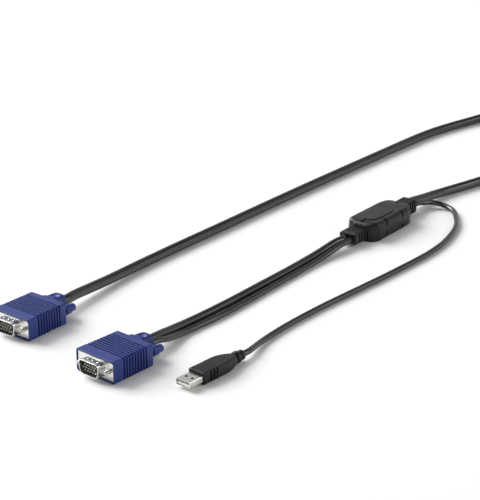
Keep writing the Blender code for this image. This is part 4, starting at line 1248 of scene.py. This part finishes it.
@dataclass(frozen=True)
class Relief:
    """A ribbed strain relief of the joint housing."""

    length: float
    width: float
    height: float
    axis: float
    collar: float
    grooves: int = 4
    groove_width: float = 0.0014
    groove_depth: float = 0.0015
    groove_edge: tuple[tuple[float, float], ...] = (
        (-0.00022, 0.0), (-0.00006, 0.00006), (0.00004, 0.00022), (0.00016, 1.0),
    )
    edge: float = 0.0016
    end_round: float = 0.0006

    def across(self, place: float, shrink: float) -> Station:
        """A station of the relief, drawn in by a distance."""
        half, high = 0.5 * self.width - shrink, 0.5 * self.height - shrink
        return place, centred(half, self.axis, high, self.edge).points()

    def stations(self) -> list[Station]:
        """Stations from its open end: a plain collar, then ribs up to the body."""
        found = [self.across(place, shrink) for shrink, place in quarter_turn(self.end_round)]
        width, edge = self.groove_width, self.groove_edge
        pitch = (self.length - self.collar - width) / (self.grooves - 1)
        grooves = Grooves(self.grooves, self.collar, pitch, width, self.groove_depth, edge)
        steps = grooves.profile()[: 1 - len(edge)]
        return found + [self.across(*step) for step in steps]


@dataclass(frozen=True)
class BluntEnd:
    """One end of the joint's body: its face, and how the body grows and leans behind it."""

    width: float
    top: float
    widening: float
    rise: float
    lean: float


@dataclass
class JointHousing:
    """The black housing where the cords meet: a blunt body with a relief at each end."""

    length: float = 0.0613
    width: float = 0.0294
    height: float = 0.0149
    edge: float = 0.0033
    foot: float = 0.0012
    narrowing: float = 0.0008
    left_relief: Relief = Relief(0.0172, 0.0154, 0.0088, 0.0065, 0.0050)
    right_relief: Relief = Relief(0.0140, 0.0136, 0.0110, 0.0075, 0.0029)
    left_end: BluntEnd = BluntEnd(0.0150, 0.0108, 0.0085, 0.0055, 0.0016)
    right_end: BluntEnd = BluntEnd(0.0118, 0.0120, 0.0130, 0.0060, 0.0010)
    end_steps: int = 16
    panel_centre: float = 0.425
    panel_length: float = 0.0350
    panel_width: float = 0.0160
    panel_height: float = 0.0006
    panel_root: float = 0.0010
    panel_bevel: float = 0.0005
    panel_power: float = 0.62
    slit_width: float = 0.0017
    slit_depth: float = 0.0020
    side_slit_length: float = 0.0084
    side_slit_lean: float = 60.0
    side_slits: tuple[float, ...] = (0.290, 0.670)
    end_slit_length: float = 0.0062
    end_slits: tuple[tuple[float, float], ...] = ((0.085, -17.0), (0.930, 9.0))

    def blunt(self, full_width: float, end: BluntEnd) -> list[Station]:
        """Stations of one blunt end of the body, from its face inwards.

        Args:
            full_width: The body's width past the end.
            end: The end's sizes.

        Returns:
            Stations whose place is the depth from the face.
        """

        def quarter(share: float) -> float:
            """The height of a unit quarter circle at a share of its width."""
            return math.sqrt(1.0 - (1.0 - min(1.0, share)) ** 2)

        def half_width(depth: float) -> float:
            """Half the body's width at a depth."""
            growth = (full_width - end.width) * quarter(max(0.0, depth) / end.widening)
            return 0.5 * (end.width + growth)

        found = []
        for step in range(self.end_steps + 1):
            depth = end.widening * (step / self.end_steps) ** 2
            height = end.top + (self.height - end.top) * quarter(depth / end.rise)
            half = half_width(depth)
            points = []
            for y, z in Section(half, 0.0, height, self.edge, self.foot).points():
                points.append((y * half_width(depth - end.lean * z / height) / half, z))
            found.append((depth, points))
        return found

    def stations(self) -> list[Station]:
        """Stations of the whole housing, from the left relief's end to the right one's."""
        start = self.left_relief.length
        end = start + self.length + self.right_relief.length
        left = self.blunt(self.width, self.left_end)
        right = self.blunt(self.width - self.narrowing, self.right_end)
        return [
            *self.left_relief.stations(),
            *((start + depth, points) for depth, points in left),
            *((start + self.length - depth, points) for depth, points in reversed(right)),
            *((end - place, points) for place, points in reversed(self.right_relief.stations())),
        ]

    def panel(self) -> bmesh.types.BMesh:
        """The raised panel on top, a long lozenge with round ends and a rounded edge."""
        bm = bmesh.new()
        rim = bmesh.ops.create_circle(bm, cap_ends=True, segments=96, radius=1.0)["verts"]
        centre = self.left_relief.length + self.panel_centre * self.length
        for vertex in rim:
            x, y = (math.copysign(abs(way) ** self.panel_power, way) for way in vertex.co.xy)
            x, y = centre + 0.5 * self.panel_length * x, 0.5 * self.panel_width * y
            vertex.co = (x, y, self.height - self.panel_root)
        raised = bmesh.ops.extrude_face_region(bm, geom=bm.faces[:])["geom"]
        top = [item for item in raised if isinstance(item, bmesh.types.BMVert)]
        bmesh.ops.translate(bm, verts=top, vec=(0.0, 0.0, self.panel_root + self.panel_height))
        bmesh.ops.bevel(
            bm, geom=[edge for edge in bm.edges if all(vertex in top for vertex in edge.verts)],
            offset=self.panel_bevel, segments=4, profile=0.5, affect="EDGES", material=-1,
            clamp_overlap=True,
        )
        bmesh.ops.recalc_face_normals(bm, faces=bm.faces[:])
        return bm

    def slits(self) -> bmesh.types.BMesh:
        """The short slits across the body's edges, as separate blocks."""
        bm = bmesh.new()
        start = self.left_relief.length
        half_corner = 1.0 - math.sqrt(0.5)
        depth = 2.0 * self.slit_depth
        block = Matrix.Diagonal((self.slit_width, self.side_slit_length, depth, 1.0))
        for share in self.side_slits:
            half = 0.5 * (self.width - self.narrowing * share)
            for side in (1.0, -1.0):
                for level, corner in ((1.0, self.edge), (-1.0, self.foot)):
                    y = side * (half - half_corner * corner)
                    z = 0.5 * self.height + level * (0.5 * self.height - half_corner * corner)
                    angle = -side * level * math.radians(self.side_slit_lean)
                    spot = Matrix.Translation((start + share * self.length, y, z))
                    matrix = spot @ Matrix.Rotation(angle, 4, "X") @ block
                    bmesh.ops.create_cube(bm, size=1.0, matrix=matrix)
        block = Matrix.Diagonal((self.end_slit_length, self.slit_width, depth, 1.0))
        for share, slope in self.end_slits:
            spot = Matrix.Translation((start + share * self.length, 0.0, self.height))
            lean = Matrix.Rotation(math.radians(slope), 4, "Y")
            bmesh.ops.create_cube(bm, size=1.0, matrix=spot @ lean @ block)
        return bm

    def build(self) -> None:
        """Make the housing."""
        housing = Moulding("joint_moulding", BLACK, Slot.MOULDING, "joint_housing", JOINT)
        housing.add(carved(loft(self.stations()), [self.slits()], [self.panel()]))


@dataclass
class Studio:
    """The pale desk, the soft light and the camera."""

    desk_size: float = 6.0
    desk_drop: float = 0.00005
    desk_colour: tuple[float, float, float] = (0.90, 0.90, 0.90)
    boxes: tuple[tuple[str, float, float, tuple[float, float, float]], ...] = (
        ("key", 225.0, 2.9, (-0.30, 3.30, 2.15)),
        ("top_box", 6.6, 1.2, (-0.15, 0.75, 1.25)),
        ("fill", 18.0, 1.5, (1.30, -1.90, 1.50)),
    )
    horizon: float = 0.62
    zenith: float = 0.08
    fade_from: float = 0.30
    fade_to: float = 0.75
    camera_place: tuple[float, float, float] = (-0.69227, -0.73711, 0.49761)
    focal: float = 122.4
    pitch: float = 22.013
    azimuth: float = -48.617

    def lay_desk(self) -> None:
        """A large plain pale desk, which is no part of the cable."""
        bm = bmesh.new()
        bmesh.ops.create_grid(bm, x_segments=1, y_segments=1, size=0.5 * self.desk_size)
        desk = link("desk", stored(bm, "desk"))
        desk.location = (0.0, 0.0, -self.desk_drop)
        material = bpy.data.materials.new("pale_desk")
        material.use_nodes = True
        shader = material.node_tree.nodes["Principled BSDF"]
        shader.inputs["Base Color"].default_value = (*self.desk_colour, 1.0)
        shader.inputs["Roughness"].default_value = 0.7
        shader.inputs["Specular IOR Level"].default_value = 0.1
        desk.data.materials.append(material)

    def light(self) -> None:
        """A large key from behind, a soft box overhead, a weak fill and a fading sky."""
        for name, power, size, place in self.boxes:
            data = bpy.data.lights.new(name, "AREA")
            data.energy = power
            data.size = size
            lamp = link(name, data)
            lamp.location = place
            lamp.rotation_euler = (-lamp.location).to_track_quat("-Z", "Y").to_euler()
        world = bpy.data.worlds.new("studio_sweep")
        world.use_nodes = True
        tree = world.node_tree
        sweep = tree.nodes["Background"]
        sweep.inputs["Color"].default_value = (1.0, 1.0, 1.0, 1.0)
        way = add_node(tree, "ShaderNodeTexCoord")
        axes = add_node(tree, "ShaderNodeSeparateXYZ")
        heights = {"From Min": self.fade_from, "From Max": self.fade_to}
        strengths = {"To Min": self.horizon, "To Max": self.zenith}
        fade = add_node(tree, "ShaderNodeMapRange", heights | strengths)
        fade.interpolation_type = "SMOOTHSTEP"
        wire(
            tree,
            (way, "Generated", axes, "Vector"),
            (axes, "Z", fade, "Value"),
            (fade, "Result", sweep, "Strength"),
        )
        bpy.context.scene.world = world
        bpy.context.scene.view_settings.view_transform = "Standard"

    def aim_camera(self) -> None:
        """The camera at the photograph's place and angle."""
        data = bpy.data.cameras.new("camera")
        data.sensor_fit = "VERTICAL"
        data.sensor_height = 36.0
        data.lens = self.focal
        camera = link("camera", data)
        camera.location = Vector(self.camera_place) - DESK_CENTRE
        camera.rotation_euler = (math.radians(90.0 - self.pitch), 0.0, math.radians(self.azimuth))
        bpy.context.scene.camera = camera

    def build(self) -> None:
        """Set the whole stage."""
        self.lay_desk()
        self.light()
        self.aim_camera()
        LOG.info("desk laid, %d lights hung, camera aimed", len(self.boxes))


def main() -> None:
    """Build the scene in order."""
    logging.basicConfig(level=logging.INFO, format="%(name)s: %(message)s")
    Studio().build()
    Cords().build()
    for prefix, place in (("video", VIDEO_PLUG), ("console", CONSOLE_PLUG)):
        VideoPlug(prefix, place).build()
    UsbPlug().build()
    JointHousing().build()


if __name__ == "__main__":
    main()
